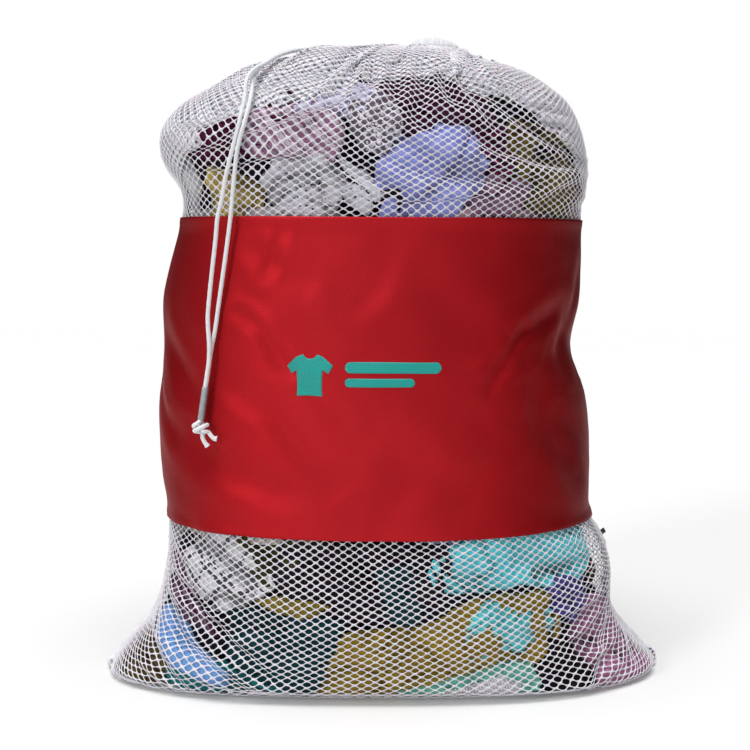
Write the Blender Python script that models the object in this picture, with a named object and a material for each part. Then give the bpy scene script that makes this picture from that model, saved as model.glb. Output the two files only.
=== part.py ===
"""Mesh laundry bag, stuffed with washing and drawn shut, standing on its bottom seam.

Frame: X to the right, the front of the bag towards -Y, Z up, metres.  The origin is on the
floor under the middle of the bag.  The flat bag is two panels of 610 by 914 mm, each in equal
thirds: lower mesh, woven nylon band, upper mesh.
"""

import math

import bmesh
import bpy
import numpy as np
from mathutils import Vector

CLOTH = 0.0012            # thickness of a panel
JOIN = 0.0004             # gap between neighbouring pieces
SEAM_ROOM = 0.0036        # from the seam's middle to the edge of a panel
SEAM_RADIUS = 0.0025      # the turned seam inside each side edge
SEAM_SHARE = 0.985        # how far along the floor outline the panels' bottom edges reach
SEAM_SHORT = 0.020        # how much less of it the bottom seam takes at each end
SEAM_SINK = 0.0015        # how far the side seams' middle lies inside the outline
SEAM_LIFT = 0.0005        # how far their lower ends are clear of the floor panels
SEAM_TOP = 18.7           # level at which the side seams end, under the hem
FULLNESS = 2.25           # superellipse exponent of every level section
FLOOR_FULLNESS = 2.6      # the same where the bag meets the floor
FLOOR_FADE = 0.040        # height over which the one turns into the other
EAR_FORWARD = 0.030       # how far the left bottom corner is pulled to the front
EAR_HEIGHT = 0.060        # the pull dies out over this height

# The bag's outline, one row for each level from the floor to the mouth:
# front y and z, back y and z, left x, right x.
LEVELS = np.array([
    (-0.128, 0.000, 0.128, 0.000, -0.280, 0.281),
    (-0.143, 0.006, 0.143, 0.006, -0.288, 0.288),
    (-0.152, 0.018, 0.152, 0.018, -0.283, 0.283),
    (-0.158, 0.035, 0.158, 0.035, -0.271, 0.264),
    (-0.162, 0.066, 0.161, 0.066, -0.244, 0.241),
    (-0.162, 0.110, 0.160, 0.110, -0.231, 0.231),
    (-0.159, 0.164, 0.158, 0.164, -0.228, 0.219),
    (-0.157, 0.225, 0.157, 0.225, -0.239, 0.220),
    (-0.157, 0.287, 0.157, 0.287, -0.240, 0.215),
    (-0.156, 0.340, 0.156, 0.340, -0.231, 0.194),
    (-0.155, 0.395, 0.156, 0.395, -0.232, 0.202),
    (-0.153, 0.471, 0.156, 0.471, -0.210, 0.203),
    (-0.153, 0.500, 0.158, 0.500, -0.210, 0.208),
    (-0.152, 0.530, 0.158, 0.532, -0.232, 0.211),
    (-0.147, 0.562, 0.155, 0.562, -0.234, 0.207),
    (-0.133, 0.593, 0.146, 0.586, -0.213, 0.194),
    (-0.110, 0.616, 0.133, 0.600, -0.181, 0.174),
    (-0.078, 0.634, 0.115, 0.605, -0.150, 0.156),
    (-0.040, 0.644, 0.096, 0.607, -0.096, 0.134),
    (-0.012, 0.645, 0.080, 0.610, -0.040, 0.112),
    (0.010, 0.642, 0.066, 0.614, 0.016, 0.084),
])
BAND_LOW = 6              # row of LEVELS at the band's lower edge
BAND_HIGH = 11            # row of LEVELS at the band's upper edge
LEVEL_GAP = 0.0016        # half the gap between band and mesh, as a share of a LEVELS row

COLUMNS = 22              # faces across a panel
FLOOR_ROWS = 3            # faces from the bottom seam to the floor outline
LOWER_ROWS = 7
BAND_ROWS = 7
UPPER_ROWS = 10
SIDE_SEAM_POINTS = 42
BOTTOM_SEAM_POINTS = 31
HEM_STEPS = 52
HEM_SIDES = 10
LOOP_POINTS = 34

CORD_RADIUS = 0.0021
CORD_STEP = 0.0105        # about two and a half diameters
CHANNEL_RADIUS = 0.0027   # the drawcord's way through the hem
MOUTH_RADIUS = 0.030      # the drawcord's ring inside the hem
HEM_RISE = 0.0110         # from the panels' top edge to the middle of the hem
HEM_TALL = 0.0090         # half the height of the gathered hem
HEM_THICK = 0.0062        # half its thickness
HEM_RUFFLE = 0.0022       # how deep its ruffles are
HEM_RUFFLES = 15
MOUTH_LEFT = math.radians(206)   # where the cord leaves the hem, round from +X
MOUTH_GAP = math.radians(27)     # half the break in the hem there
LOOP_GAP = math.radians(22)      # half the break between the ends of the loop inside it

# Routes of the two free strands, from the hem over the top and down the front to the knot.
# The left one comes from the front end of the loop and crosses over the right one.
LEFT_STRAND = (
    (0.0297, 0.0232, 0.6477),
    (0.0268, 0.0252, 0.6469),
    (0.0226, 0.0262, 0.6465),
    (0.0160, 0.0250, 0.6458),
    (0.0055, 0.0205, 0.6428),
    (-0.0106, 0.0130, 0.6403),
    (-0.0334, 0.0032, 0.6410),
    (-0.0634, -0.0197, 0.6424),
    (-0.0882, -0.0466, 0.6382),
    (-0.1060, -0.0716, 0.6292),
    (-0.1156, -0.0880, 0.6205),
    (-0.1231, -0.1003, 0.6146),
    (-0.1296, -0.1122, 0.6068),
    (-0.1326, -0.1190, 0.5975),
    (-0.1330, -0.1224, 0.5880),
    (-0.1345, -0.1278, 0.5760),
    (-0.1380, -0.1322, 0.5600),
    (-0.1425, -0.1328, 0.5425),
    (-0.1475, -0.1322, 0.5242),
    (-0.1521, -0.1315, 0.5055),
    (-0.1556, -0.1310, 0.4867),
    (-0.1597, -0.1303, 0.4697),
    (-0.1619, -0.1295, 0.4489),
    (-0.1661, -0.1283, 0.4157),
    (-0.1699, -0.1270, 0.3822),
    (-0.1703, -0.1270, 0.3677),
    (-0.1695, -0.1276, 0.3552),
    (-0.1692, -0.1278, 0.3437),
    (-0.1699, -0.1270, 0.3320),
    (-0.1717, -0.12675, 0.3203),
    (-0.1735, -0.12675, 0.3084),
    (-0.1760, -0.12675, 0.2920),
    (-0.1785, -0.12675, 0.2757),
)
RIGHT_STRAND = (
    (0.0201, 0.0408, 0.6389),
    (0.0200, 0.0374, 0.6404),
    (0.0180, 0.0336, 0.6421),
    (0.0140, 0.0304, 0.6434),
    (0.0040, 0.0251, 0.6420),
    (-0.0132, 0.0170, 0.6401),
    (-0.0366, 0.0068, 0.6412),
    (-0.0670, -0.0166, 0.6424),
    (-0.0922, -0.0436, 0.6385),
    (-0.1104, -0.0690, 0.6288),
    (-0.1207, -0.0865, 0.6177),
    (-0.1256, -0.0993, 0.6087),
    (-0.1273, -0.1091, 0.6010),
    (-0.1272, -0.1170, 0.5920),
    (-0.1285, -0.1270, 0.5780),
    (-0.1330, -0.1342, 0.5590),
    (-0.1376, -0.1348, 0.5430),
    (-0.1408, -0.1332, 0.5288),
    (-0.1442, -0.1316, 0.5008),
    (-0.1477, -0.1300, 0.4678),
    (-0.1531, -0.1288, 0.4299),
    (-0.1590, -0.1282, 0.3918),
    (-0.1635, -0.1262, 0.3629),
    (-0.1664, -0.1240, 0.3513),
    (-0.1687, -0.1226, 0.3400),
    (-0.1702, -0.12225, 0.3300),
    (-0.1718, -0.12225, 0.3195),
    (-0.1735, -0.12225, 0.3084),
    (-0.1760, -0.12225, 0.2920),
    (-0.1785, -0.12225, 0.2757),
)
SLEEVE_LOW = (-0.1785, -0.1245, 0.2757)   # the sleeve's axis, where it rests on the knot
SLEEVE_UP = (0.1511, 0.0, 0.9885)
SLEEVE_LONG = 0.0325
SLEEVE_WIDE = 0.0058
SLEEVE_DEEP = 0.0103
SLEEVE_WALL = 0.0005

KNOT_MIDDLE = (-0.1792, -0.1262, 0.2692)
KNOT_SIZE = (0.0165, 0.0140, 0.0122)
KNOT_SQUARENESS = 3.0
LEFT_TAIL = (
    (-0.1764, -0.1280, 0.2624),
    (-0.1763, -0.1290, 0.2590),
    (-0.1746, -0.1290, 0.2550),
    (-0.1716, -0.1285, 0.2504),
)
RIGHT_TAIL = (
    (-0.1707, -0.1275, 0.2642),
    (-0.1687, -0.1280, 0.2615),
    (-0.1660, -0.1282, 0.2585),
    (-0.1627, -0.1282, 0.2578),
)

# Garments: name, how far each reaches across (-1 left to 1 right), through (-1 front to
# 1 back) and up (metres above the floor), and its colour.
TIER = (0.006, 0.085, 0.165, 0.318, 0.474, 0.545, 0.606)
GARMENTS = (
    ("sky_jersey", (-1, -0.56), (-1, 0), TIER[0:2], (0.13, 0.32, 0.66)),
    ("teal_towel", (-0.56, -0.12), (-1, 0), TIER[0:2], (0.03, 0.26, 0.27)),
    ("mustard_blanket", (-0.12, 0.52), (-1, 0), TIER[0:2], (0.3, 0.22, 0.03)),
    ("mauve_robe", (0.52, 1), (-1, 0), TIER[0:2], (0.36, 0.16, 0.27)),
    ("navy_jeans", (-1, 0), (0, 1), TIER[0:2], (0.04, 0.06, 0.14)),
    ("brown_sweater", (0, 1), (0, 1), TIER[0:2], (0.14, 0.08, 0.05)),
    ("plaid_shirt", (-1, -0.4), (-1, 0), TIER[1:3], (0.7, 0.7, 0.72)),
    ("olive_trousers", (-0.4, -0.08), (-1, 0), TIER[1:3], (0.13, 0.12, 0.04)),
    ("black_cardigan", (-0.08, 0.36), (-1, 0), TIER[1:3], (0.012, 0.01, 0.014)),
    ("aqua_towel", (0.36, 1), (-1, 0), TIER[1:3], (0.13, 0.55, 0.6)),
    ("grey_sheet", (-1, 0), (0, 1), TIER[1:3], (0.48, 0.48, 0.52)),
    ("purple_scarf", (0, 1), (0, 1), TIER[1:3], (0.1, 0.06, 0.22)),
    ("bath_sheet_left", (-1, 0.04), (-1, 1), TIER[2:4], (0.6, 0.55, 0.5)),
    ("bath_sheet_right", (0.04, 1), (-1, 1), TIER[2:4], (0.2, 0.28, 0.42)),
    ("duvet_cover", (-1, 0.1), (-1, 1), TIER[3:5], (0.62, 0.6, 0.64)),
    ("pillow_case", (0.1, 1), (-1, 1), TIER[3:5], (0.5, 0.3, 0.34)),
    ("yellow_blouse", (-1, -0.5), (-1, 0), TIER[4:6], (0.62, 0.47, 0.1)),
    ("lace_top", (-0.5, 0), (-1, 0), TIER[4:6], (0.58, 0.57, 0.62)),
    ("lavender_tee", (0, 0.5), (-1, 0), TIER[4:6], (0.27, 0.3, 0.62)),
    ("khaki_chinos", (0.5, 1), (-1, 0), TIER[4:6], (0.2, 0.16, 0.05)),
    ("white_vest", (-1, 0), (0, 1), TIER[4:6], (0.72, 0.72, 0.74)),
    ("pink_pyjamas", (0, 1), (0, 1), TIER[4:6], (0.52, 0.24, 0.34)),
    ("burgundy_shirt", (-1, -0.3), (-1, 0), TIER[5:7], (0.085, 0.012, 0.04)),
    ("crochet_throw", (-0.3, 0.12), (-1, 0), TIER[5:7], (0.66, 0.65, 0.7)),
    ("plum_skirt", (0.12, 1), (-1, 0), TIER[5:7], (0.06, 0.015, 0.05)),
    ("rust_jacket", (-1, 1), (0, 1), TIER[5:7], (0.28, 0.09, 0.04)),
)
GARMENT_FACES = (4, 3, 3)     # faces across, through and up
GARMENT_ROUNDING = 7.0        # exponent of the rounded block, larger is squarer
GARMENT_ROOM = 0.94           # how far out the garments reach inside the panels
GARMENT_GAP = 0.012           # half the gap between garments, of the bag's half width
GARMENT_GAP_DEEP = 0.0156     # the same through the bag
GARMENT_GAP_HIGH = 0.0012     # half the gap between tiers, in metres
GARMENT_LEVELS = 18           # rows of LEVELS that the garments' heights are read from


def smooth(rows, at):
    """Read a smooth curve through evenly numbered rows at the given row numbers."""
    last = len(rows) - 1
    at = np.clip(np.asarray(at, float), 0, last)
    low = np.minimum(at.astype(int), last - 1)
    part = (at - low)[..., None]
    slopes = np.gradient(rows, axis=0)
    start = rows[low]
    end = rows[low + 1]
    rise = end - start
    leave = slopes[low]
    arrive = slopes[low + 1]
    bend = part * (1 - part)
    return start + rise * part + bend * ((1 - part) * (leave - rise) + part * (rise - arrive))


def section(level):
    """Middle, left and right x, and the reach to the front and back, of a level section."""
    row = smooth(LEVELS, level)
    front = row[..., 0:2]
    back = row[..., 2:4]
    middle = (front + back) / 2
    return middle, row[..., 4], row[..., 5], front - middle, back - middle


def fullness(height):
    return FULLNESS + (FLOOR_FULLNESS - FULLNESS) * np.exp(-height / FLOOR_FADE)


def pull_forward(across, height):
    """How far the left bottom corner leans to the front."""
    return EAR_FORWARD * np.clip(-across, 0, 1) ** 4 * np.exp(-height / EAR_HEIGHT)


def place(level, across, through, face):
    """Point at a share of the way across and through a level section."""
    middle, left, right, front, back = section(level)
    reach = front if face < 0 else back
    x = (left + right) / 2 + (right - left) / 2 * across
    y = middle[..., 0] + reach[..., 0] * through
    z = middle[..., 1] + reach[..., 1] * through
    y = y - pull_forward(across, middle[..., 1])
    return np.stack([x, y, z], axis=-1)


def skin(level, turn, face):
    """Point on the bag's outside; turn runs from 0 at the right seam to pi at the left."""
    power = 2 / fullness(section(level)[0][..., 1])
    across = np.sign(np.cos(turn)) * np.abs(np.cos(turn)) ** power
    through = np.abs(np.sin(turn)) ** power
    return place(level, across, through, face)


def skin_normal(level, turn, face):
    """Outward direction of the bag's skin."""
    small = 0.002
    along = skin(level, turn + small, face) - skin(level, turn - small, face)
    up = skin(level + small, turn, face) - skin(level - small, turn, face)
    out = np.cross(up, along) if face < 0 else np.cross(along, up)
    return out / np.linalg.norm(out, axis=-1, keepdims=True)


def clear_object_list():
    for item in list(bpy.data.objects):
        bpy.data.objects.remove(item, do_unlink=True)


def material(name, colour, roughness, metallic=0.0):
    found = bpy.data.materials.get(name) or bpy.data.materials.new(name)
    found.use_nodes = True
    shader = found.node_tree.nodes["Principled BSDF"]
    shader.inputs["Base Color"].default_value = (*colour, 1.0)
    shader.inputs["Roughness"].default_value = roughness
    shader.inputs["Metallic"].default_value = metallic
    return found


def add_mesh(name, points, faces, look, smooth_shade=True):
    """One object from points and faces, with its faces turned outwards."""
    mesh = bpy.data.meshes.new(name)
    mesh.from_pydata([tuple(p) for p in points], [], faces)
    shell = bmesh.new()
    shell.from_mesh(mesh)
    bmesh.ops.recalc_face_normals(shell, faces=shell.faces)
    shell.to_mesh(mesh)
    shell.free()
    if smooth_shade:
        mesh.shade_smooth()
    mesh.materials.append(look)
    item = bpy.data.objects.new(name, mesh)
    bpy.context.scene.collection.objects.link(item)
    return item


def grid_faces(rows, columns, first=0):
    faces = []
    for r in range(rows - 1):
        for c in range(columns - 1):
            a = first + r * columns + c
            faces.append((a, a + 1, a + columns + 1, a + columns))
    return faces


def add_shell(name, outside, inward, look):
    """A closed panel from a grid of outside points and their inward steps."""
    rows, columns, _ = outside.shape
    inside = outside + inward
    count = rows * columns
    faces = grid_faces(rows, columns) + grid_faces(rows, columns, count)
    rim = [c for c in range(columns)]
    rim += [r * columns + columns - 1 for r in range(1, rows)]
    rim += [(rows - 1) * columns + c for c in range(columns - 2, -1, -1)]
    rim += [r * columns for r in range(rows - 2, 0, -1)]
    for a, b in zip(rim, rim[1:] + rim[:1]):
        faces.append((a, b, b + count, a + count))
    points = np.concatenate([outside.reshape(-1, 3), inside.reshape(-1, 3)])
    return add_mesh(name, points, faces, look)


def panel_turns(level, face):
    """Turns across a panel, ending clear of the side seams."""
    middle, _, _, front, back = section(level)
    reach = np.linalg.norm(front if face < 0 else back, axis=-1)
    edge = np.arcsin((SEAM_ROOM / reach) ** (fullness(middle[..., 1]) / 2))
    share = np.linspace(0, 1, COLUMNS + 1)
    return edge[:, None] + (math.pi - 2 * edge[:, None]) * share


def wall_grid(low, high, rows, face):
    """Outside points and inward steps of a panel between two levels."""
    level = np.linspace(low, high, rows + 1)
    turn = panel_turns(level, face)
    level = np.broadcast_to(level[:, None], turn.shape)
    return skin(level, turn, face), -CLOTH * skin_normal(level, turn, face)


def add_lower_panel(name, face, look):
    """Lower mesh panel: flat under the bag from the bottom seam, then up the wall."""
    wall, inward = wall_grid(0, BAND_LOW - LEVEL_GAP, LOWER_ROWS, face)
    outline = wall[0].copy()
    outline[:, 2] = 0
    wall[0] = outline
    inward[0] = (0, 0, CLOTH)
    seam = outline.copy()
    seam[:, 0] *= SEAM_SHARE
    seam[:, 1] = face * SEAM_ROOM - pull_forward(seam[:, 0] / LEVELS[0, 5], 0)
    share = np.linspace(0, 1, FLOOR_ROWS + 1)[:-1, None, None]
    floor = seam + (outline - seam) * share
    rest = np.zeros_like(floor)
    rest[..., 2] = CLOTH
    add_shell(name, np.concatenate([floor, wall]), np.concatenate([rest, inward]), look)


def add_wall_panel(name, low, high, rows, face, look):
    add_shell(name, *wall_grid(low, high, rows, face), look)


def add_tube(name, points, radius, look, resolution=2):
    """Round tube along an open line of points, with flat ends."""
    curve = bpy.data.curves.new(name, "CURVE")
    curve.dimensions = "3D"
    curve.bevel_depth = radius
    curve.bevel_resolution = resolution
    curve.use_fill_caps = True
    spline = curve.splines.new("POLY")
    spline.points.add(len(points) - 1)
    for target, point in zip(spline.points, points):
        target.co = (*point, 1)
    spline.use_smooth = True
    curve.materials.append(look)
    item = bpy.data.objects.new(name, curve)
    bpy.context.scene.collection.objects.link(item)
    return item


def even_points(route, step):
    """Evenly spaced points on the smooth curve through a route's own points."""
    route = np.asarray(route, float)
    fine = smooth(route, np.linspace(0, len(route) - 1, 60 * len(route)))
    run = np.concatenate([[0], np.cumsum(np.linalg.norm(np.diff(fine, axis=0), axis=1))])
    count = max(2, round(run[-1] / step) + 1)
    wanted = np.linspace(0, run[-1], count)
    return np.stack([np.interp(wanted, run, fine[:, k]) for k in range(3)], axis=1)


def add_side_seam(name, side, look):
    """Turned seam up one side, from the corner to the mouth."""
    level = np.linspace(1, SEAM_TOP, SIDE_SEAM_POINTS)
    turn = np.zeros_like(level) if side > 0 else np.full_like(level, math.pi)
    points = skin(level, turn, -1)
    points[:, 0] -= side * SEAM_SINK
    points[0, 2] += SEAM_LIFT
    add_tube(name, points, SEAM_RADIUS, look)


def add_bottom_seam(name, look):
    """Flat turned seam along the floor from corner to corner."""
    across = np.linspace(-1, 1, BOTTOM_SEAM_POINTS) * (SEAM_SHARE - SEAM_SHORT)
    x = across * LEVELS[0, 5]
    y = -pull_forward(across, 0)
    front = np.stack([x, y - SEAM_RADIUS, 0 * x], axis=-1)
    back = np.stack([x, y + SEAM_RADIUS, 0 * x], axis=-1)
    inward = np.zeros((2, len(x), 3))
    inward[..., 2] = CLOTH
    add_shell(name, np.stack([front, back]), inward, look)


def mouth_frame():
    """Middle of the mouth and its right, back and outward directions."""
    middle, left, right, front, back = section(np.array(len(LEVELS) - 1.0))
    centre = np.array([(left + right) / 2, middle[0], middle[1]])
    rear = np.array([0, *(back / np.linalg.norm(back))])
    return centre, np.array([1.0, 0, 0]), rear, np.cross((1.0, 0, 0), rear)


def mouth_point(angle, radius, rise):
    centre, right, rear, outward = mouth_frame()
    around = np.cos(angle)[..., None] * right + np.sin(angle)[..., None] * rear
    return centre + around * np.asarray(radius)[..., None] + outward * np.asarray(rise)[..., None]


def add_hem(name, look):
    """Gathered hem round the mouth: a ruffled hose, open where the cord leaves it."""
    steps = HEM_STEPS
    sides = HEM_SIDES
    angle = np.linspace(MOUTH_LEFT + MOUTH_GAP, MOUTH_LEFT + 2 * math.pi - MOUTH_GAP, steps)
    ruffle = HEM_RUFFLE * np.cos(HEM_RUFFLES * (angle - MOUTH_LEFT))
    round_hose = np.linspace(0, 2 * math.pi, sides, endpoint=False)
    layers = []
    for thick, tall, sway in ((HEM_THICK, HEM_TALL, 1.0), (CHANNEL_RADIUS, CHANNEL_RADIUS, 0.0)):
        radius = MOUTH_RADIUS + sway * ruffle[:, None] + thick * np.cos(round_hose)
        rise = HEM_RISE + tall * np.sin(round_hose) + 0 * radius
        layers.append(mouth_point(angle[:, None] + 0 * radius, radius, rise))
    points = np.concatenate([layer.reshape(-1, 3) for layer in layers])
    count = steps * sides
    faces = []
    for first in (0, count):
        for r in range(steps - 1):
            for c in range(sides):
                a = first + r * sides + c
                b = first + r * sides + (c + 1) % sides
                faces.append((a, b, b + sides, a + sides))
    for row in (0, steps - 1):
        for c in range(sides):
            a = row * sides + c
            b = row * sides + (c + 1) % sides
            faces.append((a, b, b + count, a + count))
    add_mesh(name, points, faces, look)


def add_drawcord_loop(name, look):
    """The stretch of cord inside the hem."""
    end = LOOP_GAP + JOIN / MOUTH_RADIUS
    angle = np.linspace(MOUTH_LEFT + end, MOUTH_LEFT + 2 * math.pi - end, LOOP_POINTS)
    points = mouth_point(angle, 0 * angle + MOUTH_RADIUS, 0 * angle + HEM_RISE)
    add_tube(name, points, CORD_RADIUS, look)


def add_strand(name, route, look):
    """One free strand of the drawcord."""
    add_tube(name, even_points(route, CORD_STEP), CORD_RADIUS, look)


def add_tail(name, route, look):
    """A short end of cord below the knot."""
    add_tube(name, even_points(route, CORD_STEP / 4), CORD_RADIUS, look)


def add_sleeve(name, look):
    """Oval soft sleeve over both strands, its origin on the line that it slides along."""
    sides = 24
    axis = Vector(SLEEVE_UP).normalized()
    turn = (np.arange(sides) + 0.5) * 2 * math.pi / sides
    straight = np.sign(np.sin(turn)) * (SLEEVE_DEEP - SLEEVE_WIDE) / 2
    rings = []
    for wall in (0, SLEEVE_WALL):
        radius = SLEEVE_WIDE / 2 - wall
        for height in (0, SLEEVE_LONG):
            ring = [radius * np.cos(turn), radius * np.sin(turn) + straight, 0 * turn + height]
            rings.append(np.stack(ring, axis=1))
    faces = []
    for low, high in ((0, 1), (2, 3), (0, 2), (1, 3)):
        for k in range(sides):
            after = (k + 1) % sides
            a = low * sides
            b = high * sides
            faces.append((a + k, a + after, b + after, b + k))
    item = add_mesh(name, np.concatenate(rings), faces, look)
    item.data.set_sharp_from_angle(angle=math.radians(40))
    item.location = SLEEVE_LOW
    item.rotation_euler = (0, math.atan2(axis.x, axis.z), 0)


def add_knot(name, look):
    """The overhand knot that ties both strands, as its outer shape."""
    ball = bmesh.new()
    bmesh.ops.create_icosphere(ball, subdivisions=3, radius=1)
    for v in ball.verts:
        p = v.co
        size = sum(abs(c) ** KNOT_SQUARENESS for c in p) ** (1 / KNOT_SQUARENESS)
        v.co = [m + c / size * whole / 2 for m, c, whole in zip(KNOT_MIDDLE, p, KNOT_SIZE)]
    mesh = bpy.data.meshes.new(name)
    ball.to_mesh(mesh)
    ball.free()
    mesh.shade_smooth()
    mesh.materials.append(look)
    item = bpy.data.objects.new(name, mesh)
    bpy.context.scene.collection.objects.link(item)


def garment_point(block, spans):
    """Place a point of a rounded block, each way -1 to 1, inside the bag."""
    levels = np.arange(float(GARMENT_LEVELS))
    heights = np.maximum.accumulate(section(levels)[0][:, 1])
    share = (block + 1) / 2
    across, through, height = (
        low + (high - low) * share[:, k] for k, (low, high) in enumerate(spans)
    )
    level = np.interp(height, heights, levels)
    x = across * np.sqrt(1 - through**2 / 2) * GARMENT_ROOM
    y = np.abs(through) * np.sqrt(1 - across**2 / 2) * GARMENT_ROOM
    front = place(level, x, y, -1)
    back = place(level, x, y, 1)
    return np.where(through[:, None] < 0, front, back)


def add_garment(name, spans, look):
    """One garment, crumpled into a soft block that fills its share of the bag."""
    low, high = np.array(spans).T
    gap = np.array([GARMENT_GAP, GARMENT_GAP_DEEP, GARMENT_GAP_HIGH])
    spans = list(zip(low + gap, high - gap))
    shell = bmesh.new()
    index = {}
    counts = GARMENT_FACES
    for axis in range(3):
        others = [k for k in range(3) if k != axis]
        for side in (-1, 1):
            rows, columns = (counts[k] for k in others)
            corner = {}
            for r in range(rows + 1):
                for c in range(columns + 1):
                    spot = [0, 0, 0]
                    spot[axis] = side * counts[axis]
                    spot[others[0]] = 2 * r - rows
                    spot[others[1]] = 2 * c - columns
                    key = tuple(spot)
                    if key not in index:
                        index[key] = shell.verts.new(key)
                    corner[r, c] = index[key]
            for r in range(rows):
                for c in range(columns):
                    loop = (corner[r, c], corner[r + 1, c], corner[r + 1, c + 1], corner[r, c + 1])
                    shell.faces.new(loop)
    block = np.array([v.co for v in shell.verts]) / np.array(counts)
    length = np.sum(np.abs(block) ** GARMENT_ROUNDING, axis=1) ** (1 / GARMENT_ROUNDING)
    placed = garment_point(block / length[:, None], spans)
    for v, point in zip(shell.verts, placed):
        v.co = point
    bmesh.ops.recalc_face_normals(shell, faces=shell.faces)
    mesh = bpy.data.meshes.new(name)
    shell.to_mesh(mesh)
    shell.free()
    mesh.shade_smooth()
    mesh.materials.append(look)
    item = bpy.data.objects.new(name, mesh)
    bpy.context.scene.collection.objects.link(item)


def add_bag(mesh_look, band_look, seam_look, hem_look):
    top = len(LEVELS) - 1
    for face, side in ((-1, "front"), (1, "back")):
        add_lower_panel(f"{side}_lower_mesh", face, mesh_look)
        band = (BAND_LOW + LEVEL_GAP, BAND_HIGH - LEVEL_GAP)
        add_wall_panel(f"{side}_band", *band, BAND_ROWS, face, band_look)
        upper = (BAND_HIGH + LEVEL_GAP, top)
        add_wall_panel(f"{side}_upper_mesh", *upper, UPPER_ROWS, face, mesh_look)
    add_side_seam("left_side_seam", -1, seam_look)
    add_side_seam("right_side_seam", 1, seam_look)
    add_bottom_seam("bottom_seam", seam_look)
    add_hem("hem_casing", hem_look)


def main():
    clear_object_list()
    white_net = material("white_polyester_net", (0.80, 0.79, 0.84), 0.55)
    red_nylon = material("red_nylon", (0.37, 0.014, 0.02), 0.42)
    white_seam = material("white_seam_tape", (0.82, 0.81, 0.85), 0.6)
    hem_cloth = material("white_hem_cloth", (0.84, 0.84, 0.88), 0.6)
    cord_look = material("white_cord", (0.87, 0.88, 0.90), 0.6)
    add_bag(white_net, red_nylon, white_seam, hem_cloth)
    add_drawcord_loop("drawcord_loop", cord_look)
    add_strand("left_strand", LEFT_STRAND, cord_look)
    add_strand("right_strand", RIGHT_STRAND, cord_look)
    add_sleeve("cord_sleeve", material("clear_grey_vinyl", (0.62, 0.66, 0.70), 0.3))
    add_knot("end_knot", cord_look)
    add_tail("left_tail", LEFT_TAIL, cord_look)
    add_tail("right_tail", RIGHT_TAIL, cord_look)
    for name, across, through, heights, colour in GARMENTS:
        cloth = material(name + "_cloth", colour, 0.8)
        add_garment(name, (across, through, heights), cloth)


main()
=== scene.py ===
"""Looks of the mesh laundry bag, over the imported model's frame.

The bag's cloth is laid out on its cut pattern, 610 mm wide and 915 mm tall, and a small cloth
solver drapes it over the washing.  Net, band, seams and washing are then built on that cloth.
Places on the pattern are (u, v): u runs round the bag from the left seam over the front
(0 to 0.61) and on over the back (0.61 to 1.22); v runs up from the bottom seam to the hem.
"""
import math

import bpy
import bmesh
import numpy as np
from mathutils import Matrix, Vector
from mathutils.bvhtree import BVHTree


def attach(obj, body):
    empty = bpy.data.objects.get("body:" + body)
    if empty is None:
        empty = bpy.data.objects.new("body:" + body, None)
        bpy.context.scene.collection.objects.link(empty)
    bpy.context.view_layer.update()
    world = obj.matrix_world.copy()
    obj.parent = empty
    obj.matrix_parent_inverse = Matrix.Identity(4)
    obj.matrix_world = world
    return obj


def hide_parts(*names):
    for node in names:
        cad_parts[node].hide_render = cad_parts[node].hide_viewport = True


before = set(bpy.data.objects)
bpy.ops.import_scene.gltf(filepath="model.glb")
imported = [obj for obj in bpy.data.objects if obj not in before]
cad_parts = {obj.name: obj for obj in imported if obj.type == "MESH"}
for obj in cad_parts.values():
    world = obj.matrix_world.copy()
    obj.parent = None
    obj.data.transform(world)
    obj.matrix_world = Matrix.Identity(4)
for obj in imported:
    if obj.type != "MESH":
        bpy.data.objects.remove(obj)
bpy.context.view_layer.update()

# ---------------------------------------------------------------------------------------
# The bag's outline and the cord's routes, the same as in the CAD.

SEAM_SHARE = 0.985            # how much of the outline's width the bottom seam runs over
FULLNESS = 2.25               # how square the level sections are: 2 is an ellipse
FLOOR_FULLNESS = 2.6          # the same at the floor
FLOOR_FADE = 0.040            # how fast the one turns into the other going up
EAR_FORWARD = 0.030           # how far the left bottom corner leans to the front
EAR_HEIGHT = 0.060            # how fast that fades going up
BAND_LOW = 6                  # the level of the band's lower edge
BAND_HIGH = 11                # and of its upper edge
# Level sections, going up: front y and z, back y and z, left x, right x.
LEVELS = np.array([
    (-0.128, 0.000, 0.128, 0.000, -0.280, 0.281),
    (-0.143, 0.006, 0.143, 0.006, -0.288, 0.288),
    (-0.152, 0.018, 0.152, 0.018, -0.283, 0.283),
    (-0.158, 0.035, 0.158, 0.035, -0.271, 0.264),
    (-0.162, 0.066, 0.161, 0.066, -0.244, 0.241),
    (-0.162, 0.110, 0.160, 0.110, -0.231, 0.231),
    (-0.159, 0.164, 0.158, 0.164, -0.228, 0.219),
    (-0.157, 0.225, 0.157, 0.225, -0.239, 0.220),
    (-0.157, 0.287, 0.157, 0.287, -0.240, 0.215),
    (-0.156, 0.340, 0.156, 0.340, -0.231, 0.194),
    (-0.155, 0.395, 0.156, 0.395, -0.232, 0.202),
    (-0.153, 0.471, 0.156, 0.471, -0.210, 0.203),
    (-0.153, 0.500, 0.158, 0.500, -0.210, 0.208),
    (-0.152, 0.530, 0.158, 0.532, -0.232, 0.211),
    (-0.147, 0.562, 0.155, 0.562, -0.234, 0.207),
    (-0.133, 0.593, 0.146, 0.586, -0.213, 0.194),
    (-0.110, 0.616, 0.133, 0.600, -0.181, 0.174),
    (-0.078, 0.634, 0.115, 0.605, -0.150, 0.156),
    (-0.040, 0.644, 0.096, 0.607, -0.096, 0.134),
    (-0.012, 0.645, 0.080, 0.610, -0.040, 0.112),
    (0.010, 0.642, 0.066, 0.614, 0.016, 0.084),
])
TOP_LEVEL = len(LEVELS) - 1.0

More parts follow.
